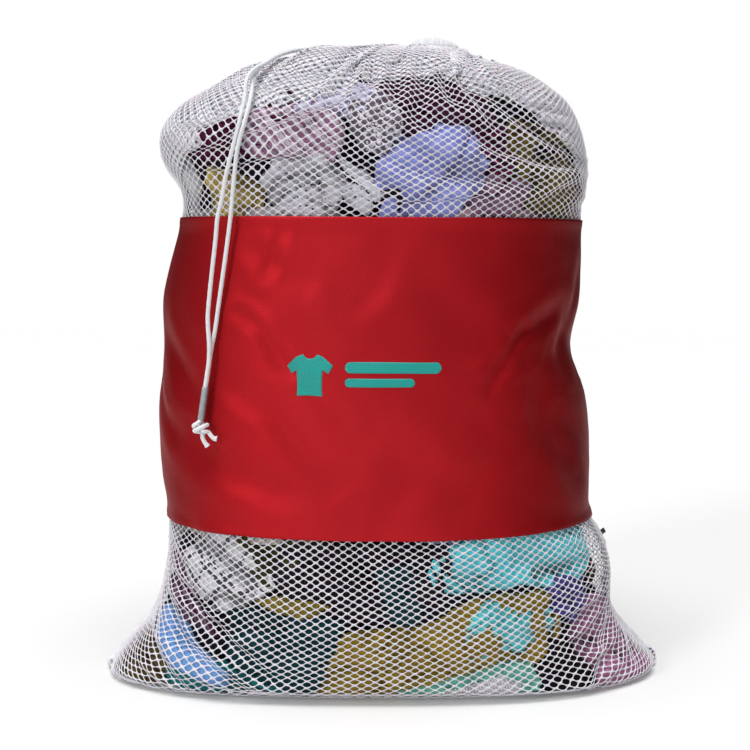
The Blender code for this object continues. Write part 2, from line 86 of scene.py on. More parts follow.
CORD_RADIUS = 0.0021
MOUTH_RADIUS = 0.030
HEM_RISE = 0.0110             # how far the hem's middle stands over the top level
MOUTH_LEFT = math.radians(206)   # the way the cord leaves the hem
MOUTH_GAP = math.radians(27)     # half the hem's opening there
LEFT_STRAND = (
    (0.0297, 0.0232, 0.6477), (0.0268, 0.0252, 0.6469), (0.0226, 0.0262, 0.6465),
    (0.0160, 0.0250, 0.6458), (0.0055, 0.0205, 0.6428), (-0.0106, 0.0130, 0.6403),
    (-0.0334, 0.0032, 0.6410), (-0.0634, -0.0197, 0.6424), (-0.0882, -0.0466, 0.6382),
    (-0.1060, -0.0716, 0.6292), (-0.1156, -0.0880, 0.6205), (-0.1231, -0.1003, 0.6146),
    (-0.1296, -0.1122, 0.6068), (-0.1326, -0.1190, 0.5975), (-0.1330, -0.1224, 0.5880),
    (-0.1345, -0.1278, 0.5760), (-0.1380, -0.1322, 0.5600), (-0.1425, -0.1328, 0.5425),
    (-0.1475, -0.1322, 0.5242), (-0.1521, -0.1315, 0.5055), (-0.1556, -0.1310, 0.4867),
    (-0.1597, -0.1303, 0.4697), (-0.1619, -0.1295, 0.4489), (-0.1661, -0.1283, 0.4157),
    (-0.1699, -0.1270, 0.3822), (-0.1703, -0.1270, 0.3677), (-0.1695, -0.1276, 0.3552),
    (-0.1692, -0.1278, 0.3437), (-0.1699, -0.1270, 0.3320), (-0.1717, -0.12675, 0.3203),
    (-0.1735, -0.12675, 0.3084), (-0.1760, -0.12675, 0.2920), (-0.1785, -0.12675, 0.2757),
)
RIGHT_STRAND = (
    (0.0201, 0.0408, 0.6389), (0.0200, 0.0374, 0.6404), (0.0180, 0.0336, 0.6421),
    (0.0140, 0.0304, 0.6434), (0.0040, 0.0251, 0.6420), (-0.0132, 0.0170, 0.6401),
    (-0.0366, 0.0068, 0.6412), (-0.0670, -0.0166, 0.6424), (-0.0922, -0.0436, 0.6385),
    (-0.1104, -0.0690, 0.6288), (-0.1207, -0.0865, 0.6177), (-0.1256, -0.0993, 0.6087),
    (-0.1273, -0.1091, 0.6010), (-0.1272, -0.1170, 0.5920), (-0.1285, -0.1270, 0.5780),
    (-0.1330, -0.1342, 0.5590), (-0.1376, -0.1348, 0.5430), (-0.1408, -0.1332, 0.5288),
    (-0.1442, -0.1316, 0.5008), (-0.1477, -0.1300, 0.4678), (-0.1531, -0.1288, 0.4299),
    (-0.1590, -0.1282, 0.3918), (-0.1635, -0.1262, 0.3629), (-0.1664, -0.1240, 0.3513),
    (-0.1687, -0.1226, 0.3400), (-0.1702, -0.12225, 0.3300), (-0.1718, -0.12225, 0.3195),
    (-0.1735, -0.12225, 0.3084), (-0.1760, -0.12225, 0.2920), (-0.1785, -0.12225, 0.2757),
)
SLEEVE_LOW = (-0.1785, -0.1245, 0.2757)   # the sleeve's axis, where it rests on the knot
SLEEVE_UP = (0.1511, 0.0, 0.9885)
SLEEVE_LONG = 0.0325
SLEEVE_WIDE = 0.0058
SLEEVE_DEEP = 0.0103
SLEEVE_WALL = 0.0005

KNOT_MIDDLE = (-0.1792, -0.1262, 0.2692)
LEFT_TAIL = (
    (-0.1764, -0.1280, 0.2624), (-0.1763, -0.1290, 0.2590), (-0.1746, -0.1290, 0.2550),
    (-0.1716, -0.1285, 0.2504),
)
RIGHT_TAIL = (
    (-0.1707, -0.1275, 0.2642), (-0.1687, -0.1280, 0.2615), (-0.1660, -0.1282, 0.2585),
    (-0.1627, -0.1282, 0.2578),
)


def smooth(rows, at):
    """Read a smooth curve through evenly numbered rows at the given row numbers."""
    last = len(rows) - 1
    at = np.clip(np.asarray(at, float), 0, last)
    low = np.minimum(at.astype(int), last - 1)
    part = (at - low)[..., None]
    slopes = np.gradient(rows, axis=0)
    start = rows[low]
    end = rows[low + 1]
    rise = end - start
    leave = slopes[low]
    arrive = slopes[low + 1]
    bend = part * (1 - part)
    return start + rise * part + bend * ((1 - part) * (leave - rise) + part * (rise - arrive))


def section(level):
    """Middle, left and right x, and the reach to the front and back, of a level section."""
    row = smooth(LEVELS, level)
    front = row[..., 0:2]
    back = row[..., 2:4]
    middle = (front + back) / 2
    return middle, row[..., 4], row[..., 5], front - middle, back - middle


def fullness(height):
    """How square the level section at a height is."""
    return FULLNESS + (FLOOR_FULLNESS - FULLNESS) * np.exp(-height / FLOOR_FADE)


def pull_forward(across, height):
    """How far the left bottom corner leans to the front."""
    return EAR_FORWARD * np.clip(-across, 0, 1) ** 4 * np.exp(-height / EAR_HEIGHT)


def place(level, across, through, face):
    """Point at a share of the way across and through a level section."""
    middle, left, right, front, back = section(level)
    reach = front if face < 0 else back
    x = (left + right) / 2 + (right - left) / 2 * across
    y = middle[..., 0] + reach[..., 0] * through
    z = middle[..., 1] + reach[..., 1] * through
    y = y - pull_forward(across, middle[..., 1])
    return np.stack([x, y, z], axis=-1)


def skin(level, turn, face):
    """Point on the bag's outside; turn runs from 0 at the right seam to pi at the left."""
    power = 2 / fullness(section(level)[0][..., 1])
    across = np.sign(np.cos(turn)) * np.abs(np.cos(turn)) ** power
    through = np.abs(np.sin(turn)) ** power
    return place(level, across, through, face)


def even_points(route, step):
    """Evenly spaced points on the smooth curve through a route's own points."""
    route = np.asarray(route, float)
    fine = smooth(route, np.linspace(0, len(route) - 1, 60 * len(route)))
    run = np.concatenate([[0], np.cumsum(np.linalg.norm(np.diff(fine, axis=0), axis=1))])
    count = max(2, round(run[-1] / step) + 1)
    wanted = np.linspace(0, run[-1], count)
    return np.stack([np.interp(wanted, run, fine[:, k]) for k in range(3)], axis=1)


def mouth_frame():
    """Middle of the mouth and its right, back and outward directions."""
    middle, left, right, _, back = section(np.array(TOP_LEVEL))
    centre = np.array([(left + right) / 2, middle[0], middle[1]])
    rear = np.array([0, *(back / np.linalg.norm(back))])
    return centre, np.array([1.0, 0, 0]), rear, np.cross((1.0, 0, 0), rear)


def mouth_point(angle, radius, rise):
    """Point round the mouth; rise is how far it stands out over the top level."""
    centre, right, rear, outward = mouth_frame()
    around = np.cos(angle)[..., None] * right + np.sin(angle)[..., None] * rear
    return centre + around * np.asarray(radius)[..., None] + outward * np.asarray(rise)[..., None]


# ---------------------------------------------------------------------------------------
# Noise and small helpers.

HASH_STEPS = (374761393, 668265263, 974634777)   # large odd numbers for x, y and the seed
HASH_MIX = (1274126177, 2246822519)


def noise(x, y, seed):
    """Smooth lattice noise between about -1 and 1."""
    x, y = np.broadcast_arrays(np.asarray(x, float), np.asarray(y, float))
    left = np.floor(x)
    low = np.floor(y)
    px = x - left
    py = y - low
    px = px * px * px * (px * (px * 6 - 15) + 10)
    py = py * py * py * (py * (py * 6 - 15) + 10)
    left = left.astype(np.int64)
    low = low.astype(np.int64)

    def corner(i, j):
        key = (left + i) * HASH_STEPS[0] + (low + j) * HASH_STEPS[1] + seed * HASH_STEPS[2]
        key = (key ^ (key >> 13)) * HASH_MIX[0] & 0x7FFFFFFF
        key = (key ^ (key >> 15)) * HASH_MIX[1] & 0x7FFFFFFF
        return (key & 0xFFFF) / 32767.5 - 1

    bottom = corner(0, 0) * (1 - px) + corner(1, 0) * px
    top = corner(0, 1) * (1 - px) + corner(1, 1) * px
    return bottom * (1 - py) + top * py


def layered(x, y, seed, layers=3):
    """Noise of several sizes added up."""
    total = 0
    share = 1.0
    for k in range(layers):
        total = total + share * noise(x * 2**k + 17.3 * k, y * 2**k - 9.1 * k, seed + 31 * k)
        share *= 0.5
    return total


def ease(x):
    """A smooth step from 0 to 1 while x goes from 0 to 1."""
    x = np.clip(x, 0, 1)
    return x * x * (3 - 2 * x)


def window(after, rise, before, fall):
    """Eases in over a rise after one edge, and out over a fall after another."""
    return ease(after / rise) * (1 - ease(before / fall))


def hump(u, v, spot, wide, tall, power=2):
    """A hump of height 1 on a spot of the pattern; a higher power is flatter across."""
    return np.exp(-((u - spot[0]) / wide) ** power) * np.exp(-((v - spot[1]) / tall) ** 2)


# ---------------------------------------------------------------------------------------
# The cut pattern laid on the bag's outline.

FLAT_WIDE = 0.610
FLAT_ZONE = 0.305             # each of the three zones, lower net, band and upper net
FLAT_TALL = 3 * FLAT_ZONE
ACROSS = 112                  # cloth faces across a panel
ZONE_ROWS = 56
ROWS = 3 * ZONE_ROWS
ROUND = 2 * ACROSS
GRID_WIDE = FLAT_WIDE / ACROSS
GRID_TALL = FLAT_TALL / ROWS
TABLE_STEP = 10               # table rows for each row of LEVELS
FLOOR_STEPS = 24


def outline_table():
    """Points on the outline: rows up the levels, columns evenly round the bag."""
    levels = np.linspace(0, TOP_LEVEL, round(TOP_LEVEL) * TABLE_STEP + 1)
    turns = math.pi * (1 - np.cos(np.linspace(0, math.pi, 801))) / 2
    columns = []
    for face in (-1, 1):
        spots = skin(levels[:, None] + 0 * turns, 0 * levels[:, None] + turns, face)
        if face < 0:
            spots = spots[:, ::-1]
        steps = np.linalg.norm(np.diff(spots, axis=1), axis=2)
        run = np.concatenate([np.zeros((len(levels), 1)), np.cumsum(steps, axis=1)], axis=1)
        share = np.arange(ACROSS) / ACROSS
        rows = [
            np.stack([np.interp(share * r[-1], r, s[:, k]) for k in range(3)], axis=1)
            for r, s in zip(run, spots)
        ]
        columns.append(np.array(rows))
    return np.concatenate(columns, axis=1)


def laid_pattern():
    """The pattern's grid on the outline, its three zones ending where the levels say."""
    table = outline_table()
    outline = table[0].copy()
    outline[:, 2] = 0
    seam = outline.copy()
    seam[:, 0] *= SEAM_SHARE
    seam[:, 1] = -pull_forward(np.clip(seam[:, 0] / LEVELS[0, 5], -1, 1), 0)
    share = np.linspace(0, 1, FLOOR_STEPS + 1)[:-1, None, None]
    floor = seam + (outline - seam) * share
    path = np.concatenate([floor, table])
    steps = np.linalg.norm(np.diff(path, axis=0), axis=2)
    run = np.concatenate([np.zeros((1, ROUND)), np.cumsum(steps, axis=0)])
    stops = [0, FLOOR_STEPS + BAND_LOW * TABLE_STEP, FLOOR_STEPS + BAND_HIGH * TABLE_STEP, -1]
    grid = np.zeros((ROWS + 1, ROUND, 3))
    for c in range(ROUND):
        for z in range(3):
            wanted = np.linspace(run[stops[z], c], run[stops[z + 1], c], ZONE_ROWS + 1)
            first = z * ZONE_ROWS
            for k in range(3):
                grid[first:first + ZONE_ROWS + 1, c, k] = np.interp(wanted, run[:, c], path[:, c, k])
    return grid


def grid_normals(grid):
    """Which way is out at every point of a grid."""
    along = np.roll(grid, -1, axis=1) - np.roll(grid, 1, axis=1)
    up = np.gradient(grid, axis=0)
    out = np.cross(along, up)
    size = np.linalg.norm(out, axis=2, keepdims=True)
    return out / np.maximum(size, 1e-12)


def seam_distance(u):
    """How far round the bag places are from the nearer side seam."""
    return np.minimum(np.abs(u - FLAT_WIDE), np.minimum(u, 2 * FLAT_WIDE - u))


def grid_cell(u, v):
    """Column and row of the grid cells that places lie in, and how far across and up."""
    column = np.asarray(u, float) / FLAT_WIDE * ACROSS
    row = np.clip(np.asarray(v, float) / FLAT_TALL * ROWS, 0, ROWS - 1e-6)
    c = np.floor(column).astype(int)
    r = np.floor(row).astype(int)
    return c, r, column - c, row - r


def read_grid(grid, u, v):
    """Values of a pattern grid at places (u, v), by straight interpolation."""
    c, r, x, y = grid_cell(u, v)
    x = x[..., None]
    y = y[..., None]
    a = c % ROUND
    b = (c + 1) % ROUND
    low = grid[r, a] * (1 - x) + grid[r, b] * x
    high = grid[r + 1, a] * (1 - x) + grid[r + 1, b] * x
    return low * (1 - y) + high * y


def read_smooth(grid, u, v):
    """The same by a smooth curve through four rows and four columns."""
    c, r, x, y = grid_cell(u, v)
    total = 0
    for j, across in enumerate(curve_shares(x)):
        for i, up in enumerate(curve_shares(y)):
            spots = grid[np.clip(r + i - 1, 0, ROWS), (c + j - 1) % ROUND]
            total = total + spots * (across * up)[..., None]
    return total


def curve_shares(t):
    """Shares of four neighbours in a smooth curve at t from the second to the third."""
    before = ((2 - t) * t - 1) * t / 2
    start = ((3 * t - 5) * t * t + 2) / 2
    stop = ((4 - 3 * t) * t + 1) * t / 2
    after = (t - 1) * t * t / 2
    return before, start, stop, after


# ---------------------------------------------------------------------------------------
# The washing: each garment is a crumpled heap under the cloth, placed on the pattern.

GARMENT_DEEP = 0.030          # how far a garment's rim reaches down under its top
ROLL = 0.010                  # how far in from its rim a garment rounds off
ANGLES = 720
CORNER_ROUND = 9              # how many of those angles an outline's corners are rounded over


class Heap:
    """Where a garment lies on the pattern, and how it bulges and folds."""

    def __init__(self, name, outline, crown=-0.003, fold=0.006, pitch=0.030, lean=0.0,
                 ragged=0.0035, deep=GARMENT_DEEP, tilt=0.0):
        self.name = name
        self.outline = np.array(outline)
        self.crown = crown
        self.fold = fold
        self.pitch = pitch
        self.lean = math.radians(lean)
        self.ragged = ragged
        self.deep = deep
        self.tilt = tilt
        self.seed = sum(ord(letter) * (k + 3) for k, letter in enumerate(name)) % 9973
        self.place = self.outline.mean(axis=0)
        self.size = np.ptp(self.outline, axis=0)
        self.radii = self.radii_round()

    def radii_round(self):
        """How far the outline is from the middle in every direction, with worn corners."""
        angle = np.linspace(-math.pi, math.pi, ANGLES, endpoint=False)
        way = np.stack([np.cos(angle), np.sin(angle)], axis=1)
        best = np.full(ANGLES, 0.0)
        corners = self.outline - self.place
        for start, stop in zip(corners, np.roll(corners, -1, axis=0)):
            side = stop - start
            cross = way[:, 0] * side[1] - way[:, 1] * side[0]
            cross = np.where(np.abs(cross) < 1e-9, 1e-9, cross)
            reach = (start[0] * side[1] - start[1] * side[0]) / cross
            along = (start[0] * way[:, 1] - start[1] * way[:, 0]) / cross
            hit = (along >= -1e-6) & (along <= 1 + 1e-6) & (reach > 0)
            best = np.where(hit, np.maximum(best, reach), best)
        kernel = np.hanning(2 * CORNER_ROUND + 1)
        wide = np.concatenate([best[-CORNER_ROUND:], best, best[:CORNER_ROUND]])
        best = np.convolve(wide, kernel / kernel.sum(), "valid")
        near = noise(best * np.cos(angle) / 0.030 + 5, best * np.sin(angle) / 0.030, self.seed)
        fine = noise(best * np.cos(angle) / 0.011, best * np.sin(angle) / 0.011, self.seed + 3)
        return best + self.ragged * (near + 0.5 * fine)

    def rim_distance(self, angle):
        turn = (np.asarray(angle) + math.pi) / (2 * math.pi) * ANGLES
        return np.interp(turn, np.arange(ANGLES + 1), np.append(self.radii, self.radii[0]))

    def folds(self, x, y):
        """Depth of the creases at places from the middle, in metres; 0 on a crest."""
        along = x / self.pitch
        over = y / self.pitch
        a = along * math.cos(self.lean) + over * math.sin(self.lean)
        b = over * math.cos(self.lean) - along * math.sin(self.lean)
        bend = layered(a * 0.45, b * 0.45, self.seed + 7, 2)
        wave = noise(a * 0.42 + 0.5 * bend, b * 1.35 + 0.9 * bend, self.seed + 11)
        small = noise(a * 1.1, b * 2.9 + 1.1 * bend, self.seed + 13)
        crease = (1 - np.abs(wave)) ** 4 + 0.40 * (1 - np.abs(small)) ** 4
        swell = 0.45 * layered(a * 0.4 + 3, b * 0.4, self.seed + 17, 2)
        return self.fold * (crease + swell - 0.10)

    def top(self, x, y, inward):
        """Offset of the garment's top from the bag's outline; inward is the way to its rim."""
        edge = np.clip(1 - inward / ROLL, 0, 1)
        roll = ROLL * 0.9 * (1 - np.sqrt(1 - edge ** 2 * 0.98))
        return self.crown - roll - self.folds(x, y) + self.tilt * y

    def offset(self, u, v):
        """Offset of the garment's top from the bag's outline, or -1 beside the garment."""
        x = (u - self.place[0] + FLAT_WIDE) % (2 * FLAT_WIDE) - FLAT_WIDE
        y = v - self.place[1]
        out = np.hypot(x, y)
        inward = self.rim_distance(np.arctan2(y, x)) - out
        return np.where(inward > 0, self.top(x, y, inward), -1.0)


def box(u, v, wide, tall):
    """A plain outline with cut corners, round a middle."""
    return [(u + wide * x, v + tall * y) for x, y in
            ((-1, -0.7), (-0.75, -1), (0.75, -1), (1, -0.7), (1, 0.7), (0.75, 1), (-0.75, 1), (-1, 0.7))]


HEAPS = (
    # front, lower net
    # charcoal_fleece is a large near-black layer deep under the lower front's garments: partly a dark
    # garment, partly painted shade standing in for the shadow in the gaps between the others.
    Heap("charcoal_fleece", box(0.310, 0.215, 0.280, 0.100), -0.012, fold=0.004, pitch=0.05),
    Heap("mustard_blanket", ((0.232, 0.118), (0.254, 0.212), (0.322, 0.220), (0.368, 0.238), (0.402, 0.252),
                             (0.470, 0.242), (0.488, 0.212), (0.468, 0.180), (0.435, 0.130), (0.345, 0.112)),
         -0.005, fold=0.007, pitch=0.026, lean=35),
    Heap("black_cardigan", ((0.190, 0.262), (0.212, 0.312), (0.300, 0.318), (0.372, 0.312), (0.378, 0.272),
                            (0.352, 0.246), (0.325, 0.224), (0.270, 0.216), (0.215, 0.236)),
         -0.005, fold=0.005, pitch=0.035, lean=-20),
    Heap("petrol_sleeve", ((0.296, 0.276), (0.328, 0.280), (0.346, 0.240), (0.334, 0.220), (0.300, 0.226)),
         -0.0035, fold=0.005, pitch=0.020, lean=60),
    Heap("olive_trousers", ((0.150, 0.318), (0.225, 0.320), (0.226, 0.272), (0.188, 0.250), (0.158, 0.280)),
         -0.0045, fold=0.006, lean=-60),
    Heap("olive_sock", ((0.176, 0.240), (0.216, 0.251), (0.254, 0.240), (0.224, 0.221)),
         -0.002, fold=0.004, pitch=0.018, lean=20, ragged=0.002),
    Heap("teal_shirt", ((0.140, 0.228), (0.200, 0.236), (0.262, 0.226), (0.262, 0.196), (0.240, 0.140),
                        (0.200, 0.128), (0.165, 0.168)), -0.004, fold=0.006, lean=60),
    Heap("teal_towel", ((0.105, 0.150), (0.155, 0.176), (0.212, 0.148), (0.222, 0.118), (0.190, 0.098),
                        (0.110, 0.105)), -0.003, fold=0.006, pitch=0.022, lean=-50),
    Heap("plaid_shirt", ((0.100, 0.298), (0.132, 0.318), (0.158, 0.306), (0.182, 0.278), (0.202, 0.256),
                         (0.182, 0.240), (0.132, 0.222), (0.088, 0.240), (0.082, 0.268)),
         -0.0015, fold=0.009, pitch=0.024, lean=-35),
    Heap("sky_jersey", ((0.046, 0.196), (0.066, 0.212), (0.095, 0.204), (0.168, 0.162), (0.166, 0.142),
                        (0.120, 0.150), (0.062, 0.174)), -0.0015, fold=0.004, lean=-25, ragged=0.002),
    Heap("plum_vest", ((0.030, 0.262), (0.080, 0.270), (0.112, 0.222), (0.148, 0.196), (0.100, 0.200),
                       (0.040, 0.208)), -0.0045, fold=0.006, pitch=0.02, lean=-30),
    Heap("brown_tee", ((0.018, 0.160), (0.075, 0.180), (0.120, 0.140), (0.115, 0.090), (0.040, 0.070),
                       (0.014, 0.100)), -0.005, fold=0.006),
    Heap("mauve_robe", ((0.486, 0.196), (0.530, 0.222), (0.572, 0.205), (0.600, 0.140), (0.596, 0.060),
                        (0.500, 0.080), (0.470, 0.140)), -0.0035, fold=0.008, pitch=0.022, lean=60),
    Heap("purple_scarf", ((0.466, 0.256), (0.520, 0.256), (0.534, 0.226), (0.502, 0.200), (0.472, 0.222)),
         -0.003, fold=0.006, pitch=0.02, lean=-40),
    Heap("aqua_towel", ((0.344, 0.260), (0.350, 0.284), (0.385, 0.305), (0.420, 0.313), (0.500, 0.318),
                        (0.545, 0.300), (0.545, 0.262), (0.505, 0.236), (0.462, 0.250), (0.412, 0.253),
                        (0.372, 0.250)), -0.001, fold=0.010, pitch=0.019, lean=-28, ragged=0.004),
    Heap("black_leggings", ((0.425, 0.168), (0.472, 0.196), (0.490, 0.160), (0.492, 0.100), (0.415, 0.100)),
         -0.004, fold=0.006),
    Heap("aqua_flannel", ((0.360, 0.172), (0.372, 0.205), (0.384, 0.230), (0.404, 0.243), (0.434, 0.241),
                          (0.474, 0.224), (0.470, 0.204), (0.432, 0.182), (0.408, 0.192), (0.388, 0.180)),
         -0.001, fold=0.008, pitch=0.016, lean=35, ragged=0.003),
    Heap("mint_top", ((0.305, 0.140), (0.345, 0.160), (0.412, 0.182), (0.436, 0.176), (0.436, 0.136),
                      (0.400, 0.112), (0.315, 0.108)), -0.0020, fold=0.003, pitch=0.02, ragged=0.0015),
    Heap("grey_joggers", ((0.330, 0.142), (0.404, 0.170), (0.418, 0.156), (0.410, 0.130), (0.340, 0.112)),
         0.001, fold=0.0015, pitch=0.03, ragged=0.001),
    # front, upper net
    # black_hoodie is a large near-black layer deep under the upper front's garments: partly a dark garment,
    # partly painted shade standing in for the shadow in the gaps between the others.
    Heap("black_hoodie", box(0.300, 0.685, 0.275, 0.090), -0.012, fold=0.004, pitch=0.05),
    Heap("burgundy_shirt", ((0.092, 0.686), (0.120, 0.722), (0.190, 0.738), (0.238, 0.730), (0.232, 0.694),
                            (0.198, 0.664), (0.110, 0.650)), -0.005, fold=0.009, pitch=0.024, lean=18),
    Heap("plum_skirt", ((0.300, 0.764), (0.360, 0.772), (0.420, 0.756), (0.436, 0.706), (0.395, 0.682),
                        (0.330, 0.692)), -0.006, fold=0.006, lean=-20),
    Heap("khaki_chinos", ((0.434, 0.700), (0.448, 0.728), (0.496, 0.722), (0.530, 0.690), (0.545, 0.640),
                          (0.530, 0.606), (0.462, 0.606), (0.438, 0.650)),
         -0.004, fold=0.010, pitch=0.024, lean=70),
    Heap("black_vest", ((0.258, 0.668), (0.300, 0.682), (0.330, 0.640), (0.324, 0.612), (0.284, 0.618)),
         -0.004, fold=0.005, pitch=0.02),
    Heap("berry_top", ((0.402, 0.706), (0.446, 0.712), (0.452, 0.668), (0.432, 0.640), (0.404, 0.662)),
         -0.004, fold=0.006, pitch=0.018, lean=60),
    Heap("yellow_blouse", ((0.098, 0.630), (0.118, 0.652), (0.150, 0.648), (0.176, 0.632), (0.172, 0.602),
                           (0.100, 0.602)), -0.002, fold=0.006, pitch=0.02, lean=-20),
    Heap("lace_top", ((0.174, 0.640), (0.190, 0.660), (0.226, 0.672), (0.254, 0.662), (0.264, 0.630),
                      (0.250, 0.606), (0.178, 0.606)), -0.0015, fold=0.010, pitch=0.018, lean=10),
    Heap("lace_collar", ((0.240, 0.668), (0.262, 0.682), (0.286, 0.658), (0.306, 0.630), (0.290, 0.614),
                         (0.262, 0.630)), -0.001, fold=0.007, pitch=0.014, lean=-50, ragged=0.005),
    Heap("mauve_pinstripe", ((0.166, 0.680), (0.182, 0.708), (0.250, 0.724), (0.282, 0.702), (0.268, 0.660),
                             (0.230, 0.664), (0.186, 0.656)), -0.0015, fold=0.009, pitch=0.020, lean=20),
    Heap("lilac_knit", ((0.214, 0.708), (0.236, 0.736), (0.286, 0.750), (0.318, 0.736), (0.300, 0.712),
                        (0.250, 0.704)), -0.0015, fold=0.006, pitch=0.016, lean=15),
    Heap("crochet_throw", ((0.278, 0.722), (0.304, 0.744), (0.330, 0.732), (0.334, 0.700), (0.316, 0.666),
                           (0.290, 0.672), (0.284, 0.700)), 0.0, fold=0.007, pitch=0.014, lean=70),
    Heap("mauve_scarf", ((0.382, 0.636), (0.420, 0.656), (0.462, 0.650), (0.478, 0.622), (0.466, 0.602),
                         (0.376, 0.602)), -0.003, fold=0.007, pitch=0.018, lean=20),
    Heap("lavender_tee", ((0.296, 0.640), (0.306, 0.664), (0.334, 0.690), (0.372, 0.708), (0.404, 0.704),
                          (0.418, 0.668), (0.396, 0.628), (0.376, 0.602), (0.304, 0.602)),
         -0.0005, fold=0.007, pitch=0.034, lean=38),
    Heap("white_jersey", ((-0.040, 0.632), (0.056, 0.634), (0.094, 0.664), (0.116, 0.696), (0.150, 0.710),
                          (0.190, 0.722), (0.243, 0.739), (0.262, 0.775), (0.200, 0.800), (0.080, 0.800),
                          (-0.030, 0.740)), -0.0060, fold=0.003, pitch=0.026, lean=10, ragged=0.002),
    Heap("white_shorts", ((0.650, 0.620), (0.556, 0.625), (0.540, 0.680), (0.500, 0.722), (0.452, 0.750),
                          (0.392, 0.772), (0.296, 0.768), (0.290, 0.860), (0.500, 0.880), (0.650, 0.800)),
         -0.0120, fold=0.003, pitch=0.03, lean=-30),
    Heap("white_pillow", ((0.190, 0.765), (0.250, 0.785), (0.330, 0.790), (0.410, 0.785), (0.410, 0.850),
                          (0.300, 0.870), (0.190, 0.850)), -0.0005, fold=0.001, pitch=0.03),
    Heap("white_vest", box(1.190, 0.672, 0.110, 0.055), -0.005, fold=0.008, lean=15),
    # under the band, right round the bag
    Heap("bath_sheet_left", box(0.000, 0.395, 0.320, 0.100), -0.004, 0.004, 0.09, 40, deep=0.05),
    Heap("bath_sheet_right", box(0.610, 0.395, 0.330, 0.100), -0.005, 0.004, 0.09, -40, deep=0.05),
    Heap("duvet_cover", box(0.000, 0.535, 0.330, 0.085), -0.005, 0.004, 0.09, 50, deep=0.05),
    Heap("pillow_case", box(0.610, 0.535, 0.320, 0.085), -0.004, 0.004, 0.09, -50, deep=0.05),
    # back
    Heap("navy_jeans", box(1.060, 0.170, 0.160, 0.080), -0.005, fold=0.008, pitch=0.05),
    Heap("brown_sweater", box(0.760, 0.165, 0.160, 0.080), -0.005, fold=0.008, pitch=0.05),
    Heap("grey_sheet", box(1.085, 0.270, 0.150, 0.055), -0.003, fold=0.010, pitch=0.04),
    Heap("linen_shirt", box(0.800, 0.268, 0.150, 0.055), -0.004, fold=0.009, pitch=0.04),
    Heap("pink_pyjamas", box(0.745, 0.660, 0.150, 0.060), -0.004, fold=0.008, pitch=0.04),
    Heap("denim_shirt", box(0.990, 0.650, 0.110, 0.055), -0.004, fold=0.008, pitch=0.04),
    Heap("rust_jacket", box(0.880, 0.745, 0.190, 0.058), -0.008, fold=0.008, pitch=0.05),
)
EMPTY = -0.024                # the cloth may sink this far where nothing lies under it


def washing_offset(u, v):
    """How far out the washing reaches, as an offset from the outline."""
    found = np.full(np.shape(u), EMPTY)
    for heap in HEAPS:
        found = np.maximum(found, heap.offset(u, v))
    return found


# ---------------------------------------------------------------------------------------
# The cloth solver.

YARN_THICK = 0.0011
LOOSE = 0.0050                # how far the cloth may stand out from the outline
SNUG = 0.65                   # how much less of that there is at the side seams
BAND_ROOM = 0.003             # how far the band may stand off the washing
CREST_LOW = 0.72              # where on the pattern the gathered crest begins
PLEAT_ROOM = 0.008            # room for the crest's pleats at the back
CREST_ROOM = 0.0005           # and at the front, where the cord pulls it flat
CREST_SINK = -0.006           # how far the crest may sink in
PLEAT_DEEP = 0.006            # the crest's pleats before the cloth settles
PLEAT_WIDE = 0.038
SHOULDER_DROP = 0.007         # how much lower the crest lies over the right shoulder
CORD_CLEAR = CORD_RADIUS + 0.0014   # from the middle of a cord to the middle of the cloth under it
SLEEVE_CLEAR = 0.0012
KNOT_CLEAR = 0.0095
# Where washing pushes the cloth out: spot, half width, half height, flatness across, how far
# out the cloth may go, how far it has to go, and how fast and from what share that ends.
BULGES = (
    ((0.212, 0.800), 0.045, 0.028, 4, 0.0050, 0.0042, 0.006, 0.3),
    ((0.60, 0.238), 0.045, 0.035, 2, 0.010, 0.0095, 0.03, 0.15),
)
GRIP = 0.010                  # how firmly the washing keeps the cloth from sliding down
EDGE_GRIP = 0.10              # the same at the band's edges
EDGE_ROWS = 6.0               # over how many rows
NET_SHEAR = 0.15              # stiffness, from 0 to 1
NET_BEND = 0.10
NYLON_SHEAR = 0.7
NYLON_BEND = 0.45
DAMPING = 0.80                # how much of its speed the cloth keeps in a step
CLOTH_WEIGHT = 0.00003        # how far the cloth falls in a step
DRAPE_STEPS = 260
DRAPE_SWEEPS = 2


def cord_reach(points, spots):
    """Distance from every grid point to the nearest of some spots."""
    flat = points.reshape(-1, 3)
    best = np.full(len(flat), 1.0)
    for spot in spots:
        best = np.minimum(best, np.linalg.norm(flat - spot, axis=1))
    return best.reshape(points.shape[:2])


def pull(a, b, rest, stiff):
    """Moves two sets of points towards their distance at rest, in place."""
    gap = b - a
    size = np.sqrt((gap * gap).sum(axis=-1, keepdims=True)) + 1e-9
    step = gap * (stiff * 0.5 * (1 - rest / size))
    a += step
    b -= step


def push_apart(a, b, rest, stiff):
    """The same, but only where they are too close: the cloth's stiffness in bending."""
    gap = b - a
    size = np.sqrt((gap * gap).sum(axis=-1, keepdims=True)) + 1e-9
    step = gap * (stiff * 0.5 * np.minimum(1 - rest / size, 0))
    a += step
    b -= step


def row_pairs(points, reach):
    """Views of the rows that lie some rows apart, in sets that share no point."""
    count = len(points)
    for first in range(2 * reach):
        low = np.arange(first, count - reach, 2 * reach)
        stop = first + 2 * reach * len(low)
        yield points[first:stop:2 * reach], points[first + reach:stop + reach:2 * reach]


